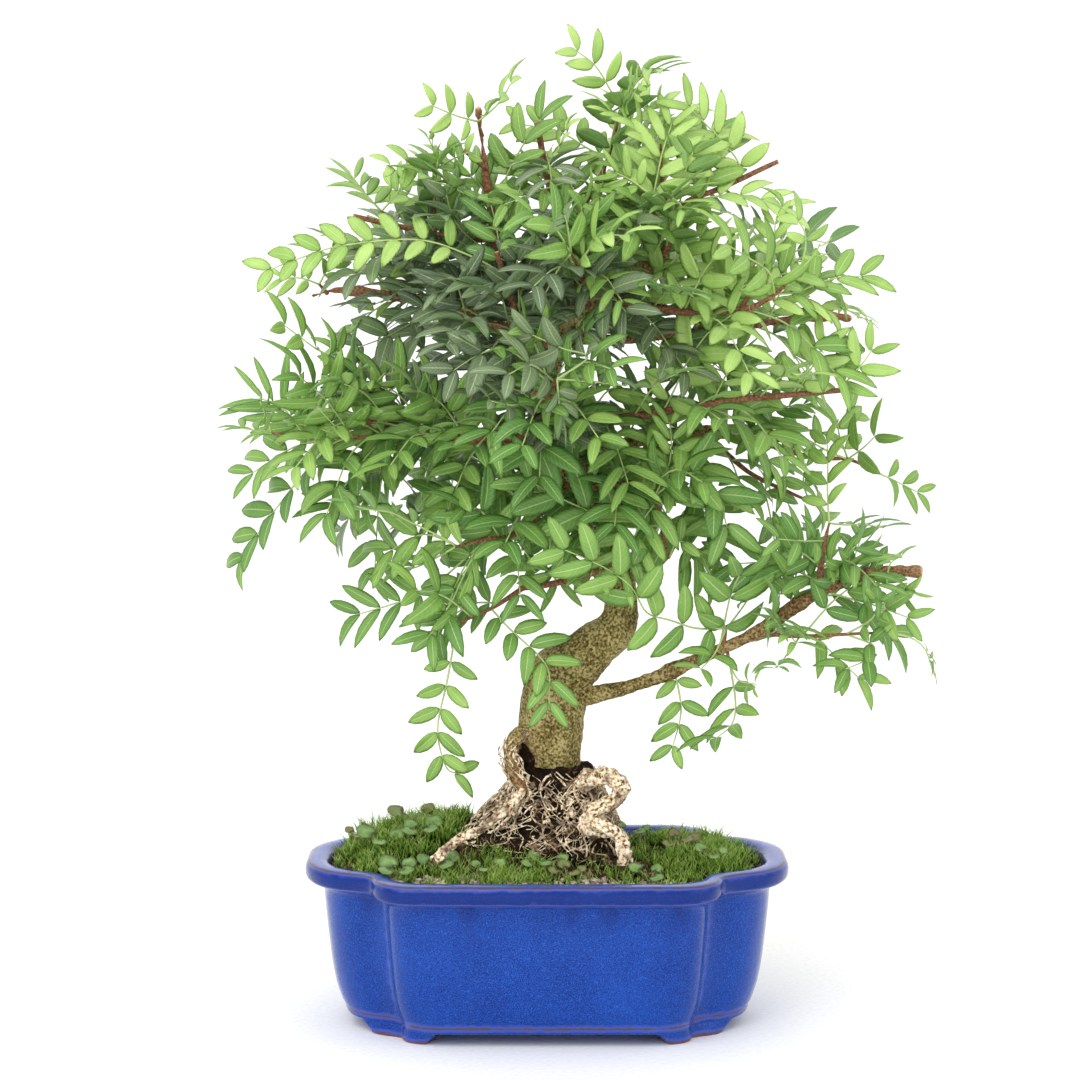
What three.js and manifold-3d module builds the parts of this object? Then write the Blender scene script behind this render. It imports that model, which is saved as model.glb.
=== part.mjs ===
// A mastic tree bonsai in a lobed blue pot. Millimetres, +Z up, -Y towards the front.
import * as THREE from 'three';
import { mergeVertices } from 'three/addons/utils/BufferGeometryUtils.js';
import Module from 'manifold-3d';

const wasm = await Module();
wasm.setup();

// Pot. Heights are counted from the base moulding, and the soles of the feet lie below it.
const POT_HALF_LENGTH = 121;
const POT_HALF_DEPTH = 82;
const POT_HEIGHT = 76;
const SOLE = -8;
const POT_UNDERSIDE = -1.5;
const POT_FLOOR = 5;
const WALL_KNEE = 60;
const LIP_INSET = 11.5;
const KNEE_INSET = 15;
const FLOOR_INSET = 25.5;
const CURVE_STEPS = 2;
const NOTCH = 5;
const DRAIN_RADIUS = 8;
const DRAIN_OFFSET = 50;
const DRAIN_SIDES = 10;
const SCREEN_SIDE = 22;
const SCREEN_THICKNESS = 1.2;
const SCREEN_CELLS = 2;
const SCREEN_BAR = 1.6;

// The outer face from the underside up to the lip: how far it is drawn in, and its height.
const POT_PROFILE = [
  [21, POT_UNDERSIDE], [19, 3], [12, 38], [9.6, 63], [1, 67.5], [0, 74], [2, POT_HEIGHT],
];

// A foot from its sole up: how far its outer and inner faces are drawn in, its spread
// about the notch, and the height.
const FOOT_PROFILE = [[20, 34, 0.66, SOLE], [21, 42, 1, POT_UNDERSIDE + 1.5]];
const FOOT_POINTS = 6;

// Ground
const GAP = 0.3;
const SOIL_EDGE = 71;
const SOIL_RISE = 20;
const SOIL_CREST = new THREE.Vector2(-18, 5);
const SOIL_SPREAD = new THREE.Vector2(56, 44);
const SOIL_RINGS = [1, 0.78, 0.45];
const MOUND_X = 3;
const MOUND_TOP = 122;
const MOUND_BOTTOM = 70;
const MOUND_TOP_RADIUS = 17;
const MOUND_LEFT = 48;
const MOUND_RIGHT = 34;
const MOUND_DEPTH = 38;
const MOUND_SIDES = 16;
const MOUND_FLANK = 1.15;
const MOUND_LEAN = 0.5;
const MOUND_RIDGE = 0.045;
const MOUND_SHOULDER = 1;
const SOCKET = 103.5;
const SOCKET_DEPTH = 3;
const SOCKET_RADIUS = 13.8;
const MOUND_LEVELS = [1, 0.8, 0.55, 0.3, 0.12, 0];
const MOSS_RINGS = [1, 0.8, 0.5, 0.2];
const MOSS_SIDES = 14;
const MOSS_TUFT = 0.5;
const MOSS_EDGE = 1.2;
const MOSS_RISE = 1.2;
const MOSS_ROOT = 8;
const MOSS_LOBES = [[3, 0.07], [7, 0.05]];
const WEED_STALK = [0.8, 0.6];
const WEED_CROWN = [1.6, 1.2];
const WEED_BLADE = 0.8;
const WEED_TILT = 25;
const WEED_LEAF_SIDES = 6;

// Tree. Its points are (across, up, depth): across and up as an eye in front of the
// tree sees them against the plane through the pot's middle, depth back from that plane.
const EYE = new THREE.Vector3(-3.5, -1600, 400);
const TRUNK_SIDES = 9;
const LIMB_SIDES = 5;
const THICK_LIMB = 3;
const TWIG_SIDES = 4;
const ROOT_SIDES = 6;
const TWIG_TIP = 0.9;

// Foliage
const SPAN_STEPS = 6;
const BLADE = 0.7;
const RACHIS_HALF = 0.6;
const LEAFLET_FOOT = 3;
const PETIOLE_PIECE = 24;
const PAIRS_KEPT = 0.66;
const LEAFLET_STRETCH = 1.14;
const LEAFLET_SPREAD = 1.5;
const FOLD = 16;
const BASE_ANGLE = 64;
const TIP_ANGLE = 36;
const WIDEST = 0.42;
const ARCH = 0.045;
const CLEARANCE = 0.4;
const SHORTEST_EDGE = 0.02;
const FEW_CROSSINGS = 12;
const FRONT_FACE = new THREE.Vector3(0, -0.86, 0.5);
const BACK_FACE = new THREE.Vector3(0, 0.6, 0.8);

// Ways to bend a leaf clear of its neighbours, in order of preference:
// how far its tip goes back, how far it rolls and how large it is.
const BENDS = [
  [0, 0, 1], [-8, 0, 1], [8, 0, 1], [0, 25, 1], [0, -25, 1], [-16, 0, 1], [16, 0, 1],
  [-8, 30, 1], [8, -30, 1], [-24, 0, 1], [24, 0, 1], [-16, -35, 1], [16, 35, 1],
  [-32, 0, 0.95], [32, 0, 0.95], [-24, 40, 0.9], [24, -40, 0.9], [-40, 0, 0.9], [40, 0, 0.9],
  [0, 60, 0.85], [0, -60, 0.85], [-12, 60, 0.8], [12, -60, 0.8], [-48, 30, 0.8], [48, -30, 0.8],
  [-30, 70, 0.75], [30, -70, 0.75], [-56, 0, 0.7], [56, 0, 0.7], [0, 90, 0.65], [-20, 90, 0.6],
  [20, 90, 0.6], [-60, 60, 0.6], [60, -60, 0.6],
];

// Ways to bend a twig clear: how far its tip goes back.
const SWAYS = [0, -6, 6, -12, 12, -18, 18, -26, 26];

// Trunk and main limbs: points from the foot outward, then the radius at each end.
const TRUNK = [
  [5, 104, 0, 13], [4, 122, 0, 13.5], [2, 140, 0, 16.5], [3, 152, 0, 16.5], [6, 166, 0, 15.5],
  [22, 180, -2, 12.5], [34, 191, -4, 10.5], [37, 205, -4, 8.5], [34, 222, -2, 7.5], [26, 243, 2, 7.5],
  [20, 262, 4, 7.5], [4, 280, 8, 7.2], [-4, 300, 7, 6.6], [6, 335, 2, 6],
  [26, 358, -2, 5], [50, 371, -4, 4], [63, 371.5, -4, 3.5],
];

const LIMBS = {
  low_right: [[14, 155, -4], [46, 163, -10], [86, 180, -18], [106, 189, -20],
    [126, 203, -22], [161, 219, -24], [187, 219.5, -22], 4.2, 2.4],
  mid_left: [[-3, 290, 2], [-36, 285.5, -6], [-58, 289, -10], [-96, 297, -16], 2.8, 1.7],
  upper_left: [[-2, 325, 6], [-24, 341, 12], [-50, 353, 18], [-99, 360, 26], [-117, 357, 28], 5, 1.2],
  top_left: [[-3, 318, 6], [-14, 345, 10], [-27, 395, 8], [-34, 450, 4], 3.2, 1.5],
  top_left_spur: [[-30, 420, 5], [-41, 429.5, 0], 1.6, 1.3],
  cut_left: [[-24.5, 385, 9], [-45, 386, 6], [-96, 396.5, -4], 1.7, 1.3],
  front_pair: [[4, 331, -2], [-10, 337, -12], [-14, 342, -18], 2.4, 2.1],
  front_high: [[-14, 342, -18], [-19, 360, -24], [-25, 379, -28], 1.9, 1.3],
  front_low: [[-13, 341, -17], [-28, 343, -24], [-44, 348, -32], 1.9, 1.6],
  top_mid: [[18, 350, 0], [13, 375, 4], [1, 412, 8], [-5, 443, 8], 2.6, 1.4],
  top_right: [[50, 370, -4], [59, 380, -8], [62, 394, -12], 2.4, 1.9],
  long_cut_twig: [[62, 393, -12], [70, 404, -6], [85, 410, 0], [114, 423.5, 8], 1.8, 1.3],
  right_upper: [[26, 358, -2], [50, 352, -14], [75, 349, -24], [101, 351, -32], 2.6, 1.6],
  right_mid: [[7, 337, 2], [40, 336, 14], [76, 340, 26], [137, 347, 40], [151, 346, 42], 2.8, 1.6],
  right_cut: [[-1, 300, 8], [30, 296, 0], [90, 305, -16], [148, 310.5, -26], 2.6, 1.3],
  right_low: [[4, 278, 8], [40, 284, 22], [78, 290, 30], [110, 285, 34], 4, 2.2],
  low_left_inner: [[33, 222, -2], [5, 214, -12], [-14, 211, -18], 1.9, 1.4],
};

// A round-leaved weed: its crown, its stalks and how far they reach.
const WEEDS = [
  { name: 'weed_left', x: -70, y: -38, stalks: 5, reach: 11, leafRadius: 5, seed: 3 },
];

// Moss: the middle of each cushion, its half sizes, its height and the phase of its edge.
const MOSSES = [
  { name: 'moss_left', x: -72, y: 15, across: 33, along: 48, height: 8, phase: 1 },
  { name: 'moss_right', x: 70, y: 8, across: 33, along: 44, height: 5.5, phase: 4 },
];

// Bare roots, from the tree outward.
const ROOT_LEFT = [[-12, 109, -22], [-20, 99, -29], [-33, 89, -36], [-42, 85.5, -41], [-50, 79, -45],
  [-57, 72, -48]];
const ROOT_LOOP = [[17, 112, -16], [24, 115, -22], [30, 116, -25], [35.5, 114, -27], [38, 108, -29],
  [31, 101, -31], [22, 96, -34], [20, 91, -37], [29, 88.5, -41], [37, 85, -42], [39, 78, -43],
  [39, 70, -44]];
const COLLAR_ROOT = [[-4, 143, -4], [-13, 138, -9], [-18, 131, -12], [-18, 123, -14], [-15, 115, -18],
  [-11, 107, -20]];

// Leafy stems: the limb each one grows from, its points from that limb outward, its
// radius at the limb, then its leaves. A leaf is the stem point it starts at (0 is on
// the limb), the points of its rachis, its pairs of leaflets, their length and width,
// then, where they matter, how far its tip comes forward (-) or back and its roll.
const FRONT_SPRAYS = [
  { name: 'far_left', limb: 'mid_left', radius: 1.5,
    stem: [[-52, 288, -9], [-75, 288, -16], [-100, 287, -24], [-137, 289, -34]], leaves: [
      [3, [[-142, 290], [-156, 292]], 3, 20, 6],
      [3, [[-140, 298], [-143, 305]], 2, 12, 4, 6],
      [2, [[-109, 282], [-122, 268], [-137, 249], [-147, 235], [-152, 226]], 5, 20, 8.5, 0, 25],
      [2, [[-112, 299], [-120, 308]], 2, 18, 7, 8],
      [2, [[-116, 292], [-126, 294]], 2, 20, 8, -8],
    ] },
  { name: 'low_right_twig', limb: 'low_right', radius: 1.5,
    stem: [[106, 189, -20], [127, 187, -26], [150, 188, -30], [171, 189, -34]], leaves: [
      [1, [[113, 187], [103, 187]], 3, 16, 6, -14],
      [1, [[117, 173], [112, 168]], 2, 18, 7, -6],
      [2, [[164, 182], [160, 175], [149, 170]], 3, 18, 6.5],
      [2, [[163, 196], [166, 206]], 3, 14, 6, -8],
      [3, [[187, 185], [197, 177], [203, 160]], 4, 14, 4.5, 0, 30],
    ] },
  { name: 'right_stub', limb: 'low_right', radius: 2.2,
    stem: [[137, 209, -23], [137, 222, -24], [139, 235, -25], [141, 244, -26]], leaves: [
      [3, [[150, 243], [163, 243], [174, 241]], 3, 22, 8],
      [3, [[140, 260], [140, 275], [139.5, 288]], 4, 18, 7, 4],
      [2, [[128, 235], [115, 236]], 3, 17, 6, -8],
      [1, [[125, 230], [112, 228]], 3, 18, 7, 6],
      [1, [[152, 224], [158, 238]], 3, 14, 6, 8],
    ] },
  { name: 'low_left_twig', limb: 'low_left_inner', radius: 1.4,
    stem: [[-12, 211, -17], [-28, 201, -24], [-45, 193.5, -30]], leaves: [
      [2, [[-50, 165], [-55, 140], [-51, 121], [-45, 117]], 6, 16, 6.5],
      [1, [[-19, 191], [-4, 177], [1, 168], [1, 152]], 6, 19, 7.5, -10],
    ] },
  { name: 'low_left', limb: 'trunk', radius: 2.2,
    stem: [[14, 266, 4], [-14, 240, -8], [-30, 236, -14], [-46, 232, -18]], leaves: [
      [3, [[-50, 236], [-78, 250], [-90, 256], [-104, 258], [-117, 261]], 4, 28, 9],
      [3, [[-58, 225], [-70, 219], [-87, 213]], 4, 30, 9, -10],
      [2, [[-60, 210], [-78, 203], [-95, 198]], 4, 23, 6, 10],
      [2, [[-38, 225], [-49, 202], [-59, 187]], 3, 22, 7, -12],
      [1, [[-12, 230], [-6, 220]], 2, 17, 7, -8],
    ] },
  { name: 'front_right', limb: 'trunk', radius: 2.2,
    stem: [[22, 258, 2], [40, 264, -12], [54, 258, -22], [57, 243, -26], [61, 226, -28]], leaves: [
      [3, [[40, 242], [25, 248], [12, 254], [0, 260], [-10, 266]], 5, 28, 10, -10],
      [4, [[66, 235], [78, 228]], 2, 15, 6],
      [2, [[60, 271], [62, 282], [61, 295]], 5, 17, 5.5, 6],
      [2, [[70, 269], [78, 264], [86, 255], [90, 242]], 4, 25, 9],
    ] },
  { name: 'right_low_bright', limb: 'right_low', radius: 1.6,
    stem: [[78, 290, 30], [100, 270, 24], [122, 259, 16], [131, 255, 12]], leaves: [
      [3, [[128, 264], [129, 274]], 2, 14, 6],
      [3, [[137, 250], [133, 241]], 3, 16, 7, -6],
    ] },
  { name: 'right_far', limb: 'right_low', radius: 1.8,
    stem: [[108, 285, 34], [131, 277, 40], [150, 276, 44], [163, 270, 46]], leaves: [
      [2, [[140, 280], [125, 288], [112, 289], [100, 287]], 4, 17, 7, -16],
      [2, [[145, 292], [150, 299]], 3, 20, 7],
      [2, [[158, 282], [164, 288]], 2, 23, 8, -6],
      [3, [[172, 266], [186, 259]], 3, 15, 5],
    ] },
  { name: 'upper_right', limb: 'right_upper', radius: 1.6,
    stem: [[101, 351, -32], [113, 358, -34], [126, 371, -40]], leaves: [
      [1, [[124, 359], [131, 362], [143, 366], [157, 367]], 4, 21, 7],
      [1, [[110, 369], [100, 376], [90, 382]], 4, 24, 8, -8],
      [2, [[128, 383], [126, 392], [115, 402]], 3, 16, 5.5],
      [2, [[133, 378], [139, 387]], 2, 15, 5.5, 6],
    ] },
  { name: 'upper_right_b', limb: 'right_upper', radius: 1.4,
    stem: [[96, 350.5, -30], [102, 361, -28], [108, 373, -24]], leaves: [
      [2, [[112, 382], [113, 394]], 3, 15, 5.5, 8],
    ] },
  { name: 'top_right_a', limb: 'top_right', radius: 1.4,
    stem: [[61, 391, -11], [57, 412, -8], [56, 432, -4]], leaves: [
      [2, [[62, 438], [71, 444]], 3, 15, 6],
      [2, [[50, 436], [43, 441]], 3, 16, 7, -6],
      [2, [[57, 444], [55, 455]], 3, 15, 6, 10],
    ] },
  { name: 'top_right_b', limb: 'top_right', radius: 1.4,
    stem: [[60.5, 386, -10], [54, 396, -18], [50, 408, -24]], leaves: [
      [1, [[46, 390], [31, 391]], 3, 23, 8, -4],
      [2, [[42, 414], [34, 418]], 3, 16, 7, -6],
      [1, [[72, 398], [86, 402]], 3, 17, 7, -16],
    ] },
  { name: 'top_tip', limb: 'top_mid', radius: 1.7,
    stem: [[10, 388, 5.5], [22, 408, 14], [30, 425, 18], [36.5, 449, 18]], leaves: [
      [3, [[32, 457], [24, 470], [14, 478]], 4, 17, 6],
      [3, [[40, 452], [47, 464]], 4, 16, 5, 6],
      [2, [[20, 430], [6, 438], [-14, 442]], 5, 15, 6.5, 10],
      [1, [[18, 414], [2, 411], [-22, 402]], 4, 16, 6, -12],
    ] },
  { name: 'left_hidden', limb: 'mid_left', radius: 1.6,
    stem: [[-66, 291, -11], [-70, 280, -2], [-78, 272, 8], [-87, 266, 16]], leaves: [
      [3, [[-97, 250], [-104, 238]], 3, 20, 8],
      [2, [[-68, 262], [-60, 250]], 3, 18, 7, 8],
    ] },
  { name: 'front_centre', limb: 'trunk', radius: 2.4,
    stem: [[-3, 300, 4], [0, 305, -25], [3, 312, -55], [5, 316, -80]], leaves: [
      [3, [[22, 328], [8, 333], [-10, 341]], 3, 24, 9],
      [3, [[6, 303], [8, 293]], 3, 22, 8, -6],
      [3, [[30, 314], [45, 312]], 3, 20, 8],
      [2, [[-18, 330], [-32, 329], [-47, 320]], 3, 20, 9, -10],
      [2, [[-15, 303], [-30, 305]], 3, 15, 7, -10],
    ] },
  { name: 'left_top', limb: 'cut_left', radius: 1.2,
    stem: [[-75, 392, -1], [-82, 399, -6]], leaves: [
      [1, [[-92, 410], [-98.5, 419]], 4, 23, 7, -6, 35],
      [1, [[-74, 408], [-70, 416]], 3, 15, 6, 6],
    ] },
  { name: 'left_crown', limb: 'cut_left', radius: 1.5,
    stem: [[-56, 388.5, 3], [-56, 405, 6], [-56, 419, 8]], leaves: [
      [2, [[-64, 422], [-79, 421.5]], 3, 14, 7],
      [1, [[-66, 407], [-78, 411]], 3, 15, 7, 10],
      [2, [[-48, 424], [-37, 429]], 3, 14, 6],
      [2, [[-56, 432], [-60, 442]], 3, 14, 6, 6],
    ] },
  { name: 'left_long', limb: 'front_high', radius: 0, stem: [[-22, 368, -26]], leaves: [
    [0, [[-38, 377], [-64, 385], [-102, 382], [-125, 375], [-138, 370]], 8, 16, 7, -4],
  ] },
  { name: 'left_fan', limb: 'mid_left', radius: 1.4,
    stem: [[-89, 296, -15], [-93, 306, -12]], leaves: [
      [1, [[-108, 327], [-118, 334], [-134, 346]], 4, 22, 8, -10],
      [1, [[-100, 318], [-105, 331]], 3, 16, 5.5, 6],
      [1, [[-86, 313], [-79, 321]], 3, 16, 5.5, -6],
    ] },
  { name: 'front_shoot', limb: 'low_right', radius: 1.7,
    stem: [[88, 181, -18], [90, 191, -24]], leaves: [
      [1, [[75, 191], [62, 195], [50, 199], [42, 212], [28, 222], [8, 231]], 7, 23, 9, -22],
      [1, [[97, 200], [104, 210], [110, 221], [117, 236]], 5, 17, 6, -6],
      [1, [[84, 178], [77, 170]], 2, 20, 8, -14],
    ] },
  { name: 'hang_right_a', limb: 'low_right', radius: 0, stem: [[64, 170, -13.5]], leaves: [
    [0, [[67, 155], [67, 145], [63, 130]], 4, 15, 6, -6],
  ] },
  { name: 'hang_right_b', limb: 'low_right', radius: 1.3,
    stem: [[90, 181.5, -18], [92, 172, -22]], leaves: [
      [1, [[95, 152], [93, 140], [84, 132]], 4, 25, 7, -6],
      [1, [[98, 162], [110, 159]], 2, 20, 8, 10],
    ] },
  { name: 'right_end', limb: 'low_right', radius: 1.2,
    stem: [[165, 219, -24], [170, 212, -28]], leaves: [
      [1, [[178, 208], [186, 210]], 3, 14, 6, -6],
      [1, [[172, 226], [180, 232]], 3, 15, 6, 10],
    ] },
  { name: 'right_drop', limb: 'low_right', radius: 0, stem: [[140, 209.5, -24]], leaves: [
    [0, [[152, 206], [166, 202], [182, 196]], 3, 15, 6, -14],
  ] },
  { name: 'cut_twig_tip', limb: 'right_cut', radius: 0, stem: [[144, 310, -25]], leaves: [
    [0, [[154, 320], [162, 331]], 3, 18, 6, -8],
  ] },
  { name: 'cut_twig_mid', limb: 'right_cut', radius: 0, stem: [[124, 308, -22]], leaves: [
    [0, [[129, 317], [134, 326], [138, 335]], 3, 18, 7, -4],
  ] },
  { name: 'right_star', limb: 'right_cut', radius: 0, stem: [[58, 299.5, -7.5]], leaves: [
    [0, [[64, 312], [70, 325], [81, 340], [92, 348]], 5, 24, 8, -18],
  ] },
  { name: 'right_dark', limb: 'right_mid', radius: 0, stem: [[62, 338.5, 22]], leaves: [
    [0, [[68, 332], [80, 323], [92, 318], [104, 311]], 4, 23, 9, 6],
  ] },
  { name: 'bracket_right', limb: 'right_mid', radius: 1.3,
    stem: [[137, 347, 40], [144, 352, 38]], leaves: [
      [1, [[150, 350], [158, 345]], 3, 19, 8, -6],
      [1, [[143, 362], [138, 370]], 3, 16, 7, 6],
    ] },
  { name: 'long_twig', limb: 'long_cut_twig', radius: 0, stem: [[97, 414.6, 4]], leaves: [
    [0, [[94, 424], [86, 434], [77, 443], [69, 451]], 5, 21, 8, -6],
  ] },
  { name: 'top_mid_leaves', limb: 'top_mid', radius: 1.3,
    stem: [[0.5, 413, 8], [-1, 420, -2]], leaves: [
      [1, [[-12, 424], [-28, 427]], 3, 14, 6, -10],
      [1, [[6, 430], [12, 442]], 3, 15, 7, -4],
    ] },
  { name: 'top_left_leaves', limb: 'top_left', radius: 1.3,
    stem: [[-32.5, 436, 4.3], [-34, 443, -5]], leaves: [
      [1, [[-45, 446], [-57, 451]], 3, 15, 6, -4],
      [1, [[-24, 452], [-17, 463]], 3, 15, 6, -2],
    ] },
  { name: 'centre_a', limb: 'front_pair', radius: 0, stem: [[-13, 340.5, -17]], leaves: [
    [0, [[-14, 356], [-15, 376]], 3, 19, 8, -16],
  ] },
  { name: 'centre_left', limb: 'top_left', radius: 0, stem: [[-23, 376, 9.7]], leaves: [
    [0, [[-36, 384], [-46, 395], [-50, 408]], 3, 18, 8, -20],
  ] },
  { name: 'centre_b', limb: 'top_mid', radius: 1.4,
    stem: [[15.4, 363, 2], [18, 372, -8]], leaves: [
      [1, [[26, 374], [36, 370]], 3, 19, 7, -8],
      [1, [[8, 378], [-2, 386]], 3, 17, 7, -8],
    ] },
  { name: 'left_inner', limb: 'mid_left', radius: 1.3,
    stem: [[-36, 285.5, -6], [-42, 292, 4]], leaves: [
      [1, [[-56, 302], [-67, 314]], 3, 18, 7, 6],
      [1, [[-38, 306], [-34, 318]], 3, 17, 7, 10],
    ] },
  { name: 'left_dark', limb: 'upper_left', radius: 0, stem: [[-60, 354.7, 20]], leaves: [
    [0, [[-66, 345], [-80, 337], [-93, 332]], 3, 20, 8, -8],
  ] },
  { name: 'left_upper', limb: 'upper_left', radius: 1.3,
    stem: [[-76, 357, 22.3], [-80, 364, 28]], leaves: [
      [1, [[-88, 368], [-100, 367]], 3, 15, 7, 6],
      [1, [[-70, 372], [-66, 382]], 3, 16, 7, 10],
    ] },
  { name: 'left_tip', limb: 'upper_left', radius: 1.2,
    stem: [[-109, 358.4, 27], [-113, 363, 22]], leaves: [
      [1, [[-122, 366], [-133, 366]], 3, 14, 5, -6],
      [1, [[-108, 372], [-102, 380]], 3, 15, 6, 6],
    ] },
];

// Leafy stems behind and beside the trunk, each with a few leaves set around it by rule.
const BACK_SPRAYS = [
  { name: 'back_left', limb: 'trunk', stem: [[-3, 300, 7], [-20, 315, 50], [-35, 322, 95]] },
  { name: 'back_upper', limb: 'trunk', stem: [[6, 335, 2], [20, 350, 45], [35, 362, 90]] },
  { name: 'back_right', limb: 'trunk', stem: [[18, 264, 4.5], [32, 256, 50], [50, 250, 95]] },
  { name: 'back_low', limb: 'trunk', stem: [[0, 285, 7.6], [-25, 268, 50], [-50, 255, 85]] },
  { name: 'back_top', limb: 'trunk', stem: [[26, 358, -2], [28, 385, 35], [32, 410, 62]] },
  { name: 'back_limb_left', limb: 'upper_left', stem: [[-50, 353, 18], [-62, 372, 45], [-70, 388, 74]] },
  { name: 'back_limb_right', limb: 'right_mid', stem: [[76, 340, 26], [95, 362, 58], [108, 382, 86]] },
  { name: 'front_top', limb: 'trunk', stem: [[20, 351, -1], [18, 366, -34], [12, 378, -62]] },
];

const radians = THREE.MathUtils.degToRad;
const vector = (x, y, z) => new THREE.Vector3(x, y, z);

// A fixed scatter between 0 and 1 for a pair of whole numbers.
function scatter(i, j) {
  const wave = Math.sin(i * 12.9898 + j * 78.233) * 43758.5453;
  return wave - Math.floor(wave);
}

// The place of a point seen at (across, up) that lies at a depth.
function at([across, up, depth]) {
  const reach = (depth - EYE.y) / -EYE.y;
  return vector(EYE.x + (across - EYE.x) * reach, depth, EYE.z + (up - EYE.z) * reach);
}

function solid(points, faces) {
  const vertProperties = new Float32Array(points.flatMap((p) => [p.x, p.y, p.z]));
  const triVerts = new Uint32Array(faces.flat());
  return new wasm.Manifold(new wasm.Mesh({ numProp: 3, vertProperties, triVerts }));
}

function solidOf(geometry) {
  const bare = geometry.clone();
  bare.deleteAttribute('normal');
  bare.deleteAttribute('uv');
  const merged = mergeVertices(bare, 1e-4);
  return new wasm.Manifold(new wasm.Mesh({
    numProp: 3,
    vertProperties: new Float32Array(merged.attributes.position.array),
    triVerts: new Uint32Array(merged.index.array),
  }));
}

function joined(solids) {
  return solids.reduce((sum, next) => sum.add(next));
}

// The largest single body of a solid that a cut may have parted.
function mainBody(shape) {
  return shape.decompose().sort((a, b) => b.volume() - a.volume())[0];
}

// The faces of a solid with its shortest edges drawn together, which cuts leave behind.
function cleanMesh(shape) {
  const { vertProperties, triVerts } = shape.getMesh();
  const points = Array.from({ length: vertProperties.length / 3 }, (_, i) => (
    new THREE.Vector3().fromArray(vertProperties, 3 * i)));
  const home = points.map((_, i) => i);
  const find = (i) => (home[i] === i ? i : find(home[i]));
  for (let i = 0; i < triVerts.length; i += 1) {
    const next = i % 3 === 2 ? i - 2 : i + 1;
    const [a, b] = [find(triVerts[i]), find(triVerts[next])];
    if (a !== b && points[a].distanceTo(points[b]) < SHORTEST_EDGE) {
      home[b] = a;
    }
  }
  const faces = new Map();
  for (let i = 0; i < triVerts.length; i += 3) {
    const face = [0, 1, 2].map((k) => find(triVerts[i + k]));
    const key = face.slice().sort((a, b) => a - b).join(' ');
    if (new Set(face).size < 3 || faces.has(key)) {
      faces.delete(key);
    } else {
      faces.set(key, face);
    }
  }
  return { points, faces: [...faces.values()] };
}

// A closed skin over rings of equal count, each counter-clockwise seen from above.
function loft(rings) {
  const count = rings[0].length;
  const faces = [];
  for (let r = 0; r + 1 < rings.length; r += 1) {
    for (let i = 0; i < count; i += 1) {
      const a = r * count + i;
      const b = r * count + ((i + 1) % count);
      faces.push([a, b, b + count], [a, b + count, a + count]);
    }
  }
  const lastRing = (rings.length - 1) * count;
  const flat = (ring) => ring.map((p) => new THREE.Vector2(p.x, p.y));
  const first = THREE.ShapeUtils.triangulateShape(flat(rings[0]), []);
  const last = THREE.ShapeUtils.triangulateShape(flat(rings[rings.length - 1]), []);
  first.forEach(([a, b, c]) => faces.push([a, c, b]));
  last.forEach(([a, b, c]) => faces.push([lastRing + a, lastRing + b, lastRing + c]));
  return solid(rings.flat(), faces);
}

// A tapered limb of round section along a path, its ends closed flat.
function limb(path, radii, sides, grow = 0) {
  const tangents = path.map((p, i) => {
    const before = path[Math.max(i - 1, 0)];
    const after = path[Math.min(i + 1, path.length - 1)];
    return after.clone().sub(before).normalize();
  });
  let side = Math.abs(tangents[0].y) > 0.9 ? vector(1, 0, 0) : vector(0, 1, 0);
  const points = [];
  path.forEach((p, i) => {
    side = side.clone().addScaledVector(tangents[i], -side.dot(tangents[i])).normalize();
    const other = tangents[i].clone().cross(side);
    for (let k = 0; k < sides; k += 1) {
      const turn = (k / sides) * 2 * Math.PI;
      points.push(p.clone()
        .addScaledVector(side, (radii[i] + grow) * Math.cos(turn))
        .addScaledVector(other, (radii[i] + grow) * Math.sin(turn)));
    }
  });
  const faces = [];
  for (let i = 0; i + 1 < path.length; i += 1) {
    for (let k = 0; k < sides; k += 1) {
      const a = i * sides + k;
      const b = i * sides + ((k + 1) % sides);
      faces.push([a, b, b + sides], [a, b + sides, a + sides]);
    }
  }
  const end = (path.length - 1) * sides;
  for (let k = 1; k + 1 < sides; k += 1) {
    faces.push([0, k + 1, k], [end, end + k, end + k + 1]);
  }
  return solid(points, faces);
}

// Radii that taper evenly from one end of a path to the other.
function taper(count, from, to) {
  return Array.from({ length: count }, (_, i) => from + ((to - from) * i) / (count - 1));
}

// A smooth path through points, with even steps between each two.
function smooth(points) {
  const path = [];
  const last = points.length - 1;
  for (let i = 0; i < last; i += 1) {
    const b = points[i];
    const c = points[i + 1];
    const a = i > 0 ? points[i - 1] : b.clone().multiplyScalar(2).sub(c);
    const d = i + 1 < last ? points[i + 2] : c.clone().multiplyScalar(2).sub(b);
    for (let k = 0; k < SPAN_STEPS; k += 1) {
      const t = k / SPAN_STEPS;
      path.push(vector(0, 0, 0)
        .addScaledVector(a, 0.5 * (-t + 2 * t * t - t * t * t))
        .addScaledVector(b, 0.5 * (2 - 5 * t * t + 3 * t * t * t))
        .addScaledVector(c, 0.5 * (t + 4 * t * t - 3 * t * t * t))
        .addScaledVector(d, 0.5 * (-t * t + t * t * t)));
    }
  }
  path.push(points[last].clone());
  return path;
}

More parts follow.
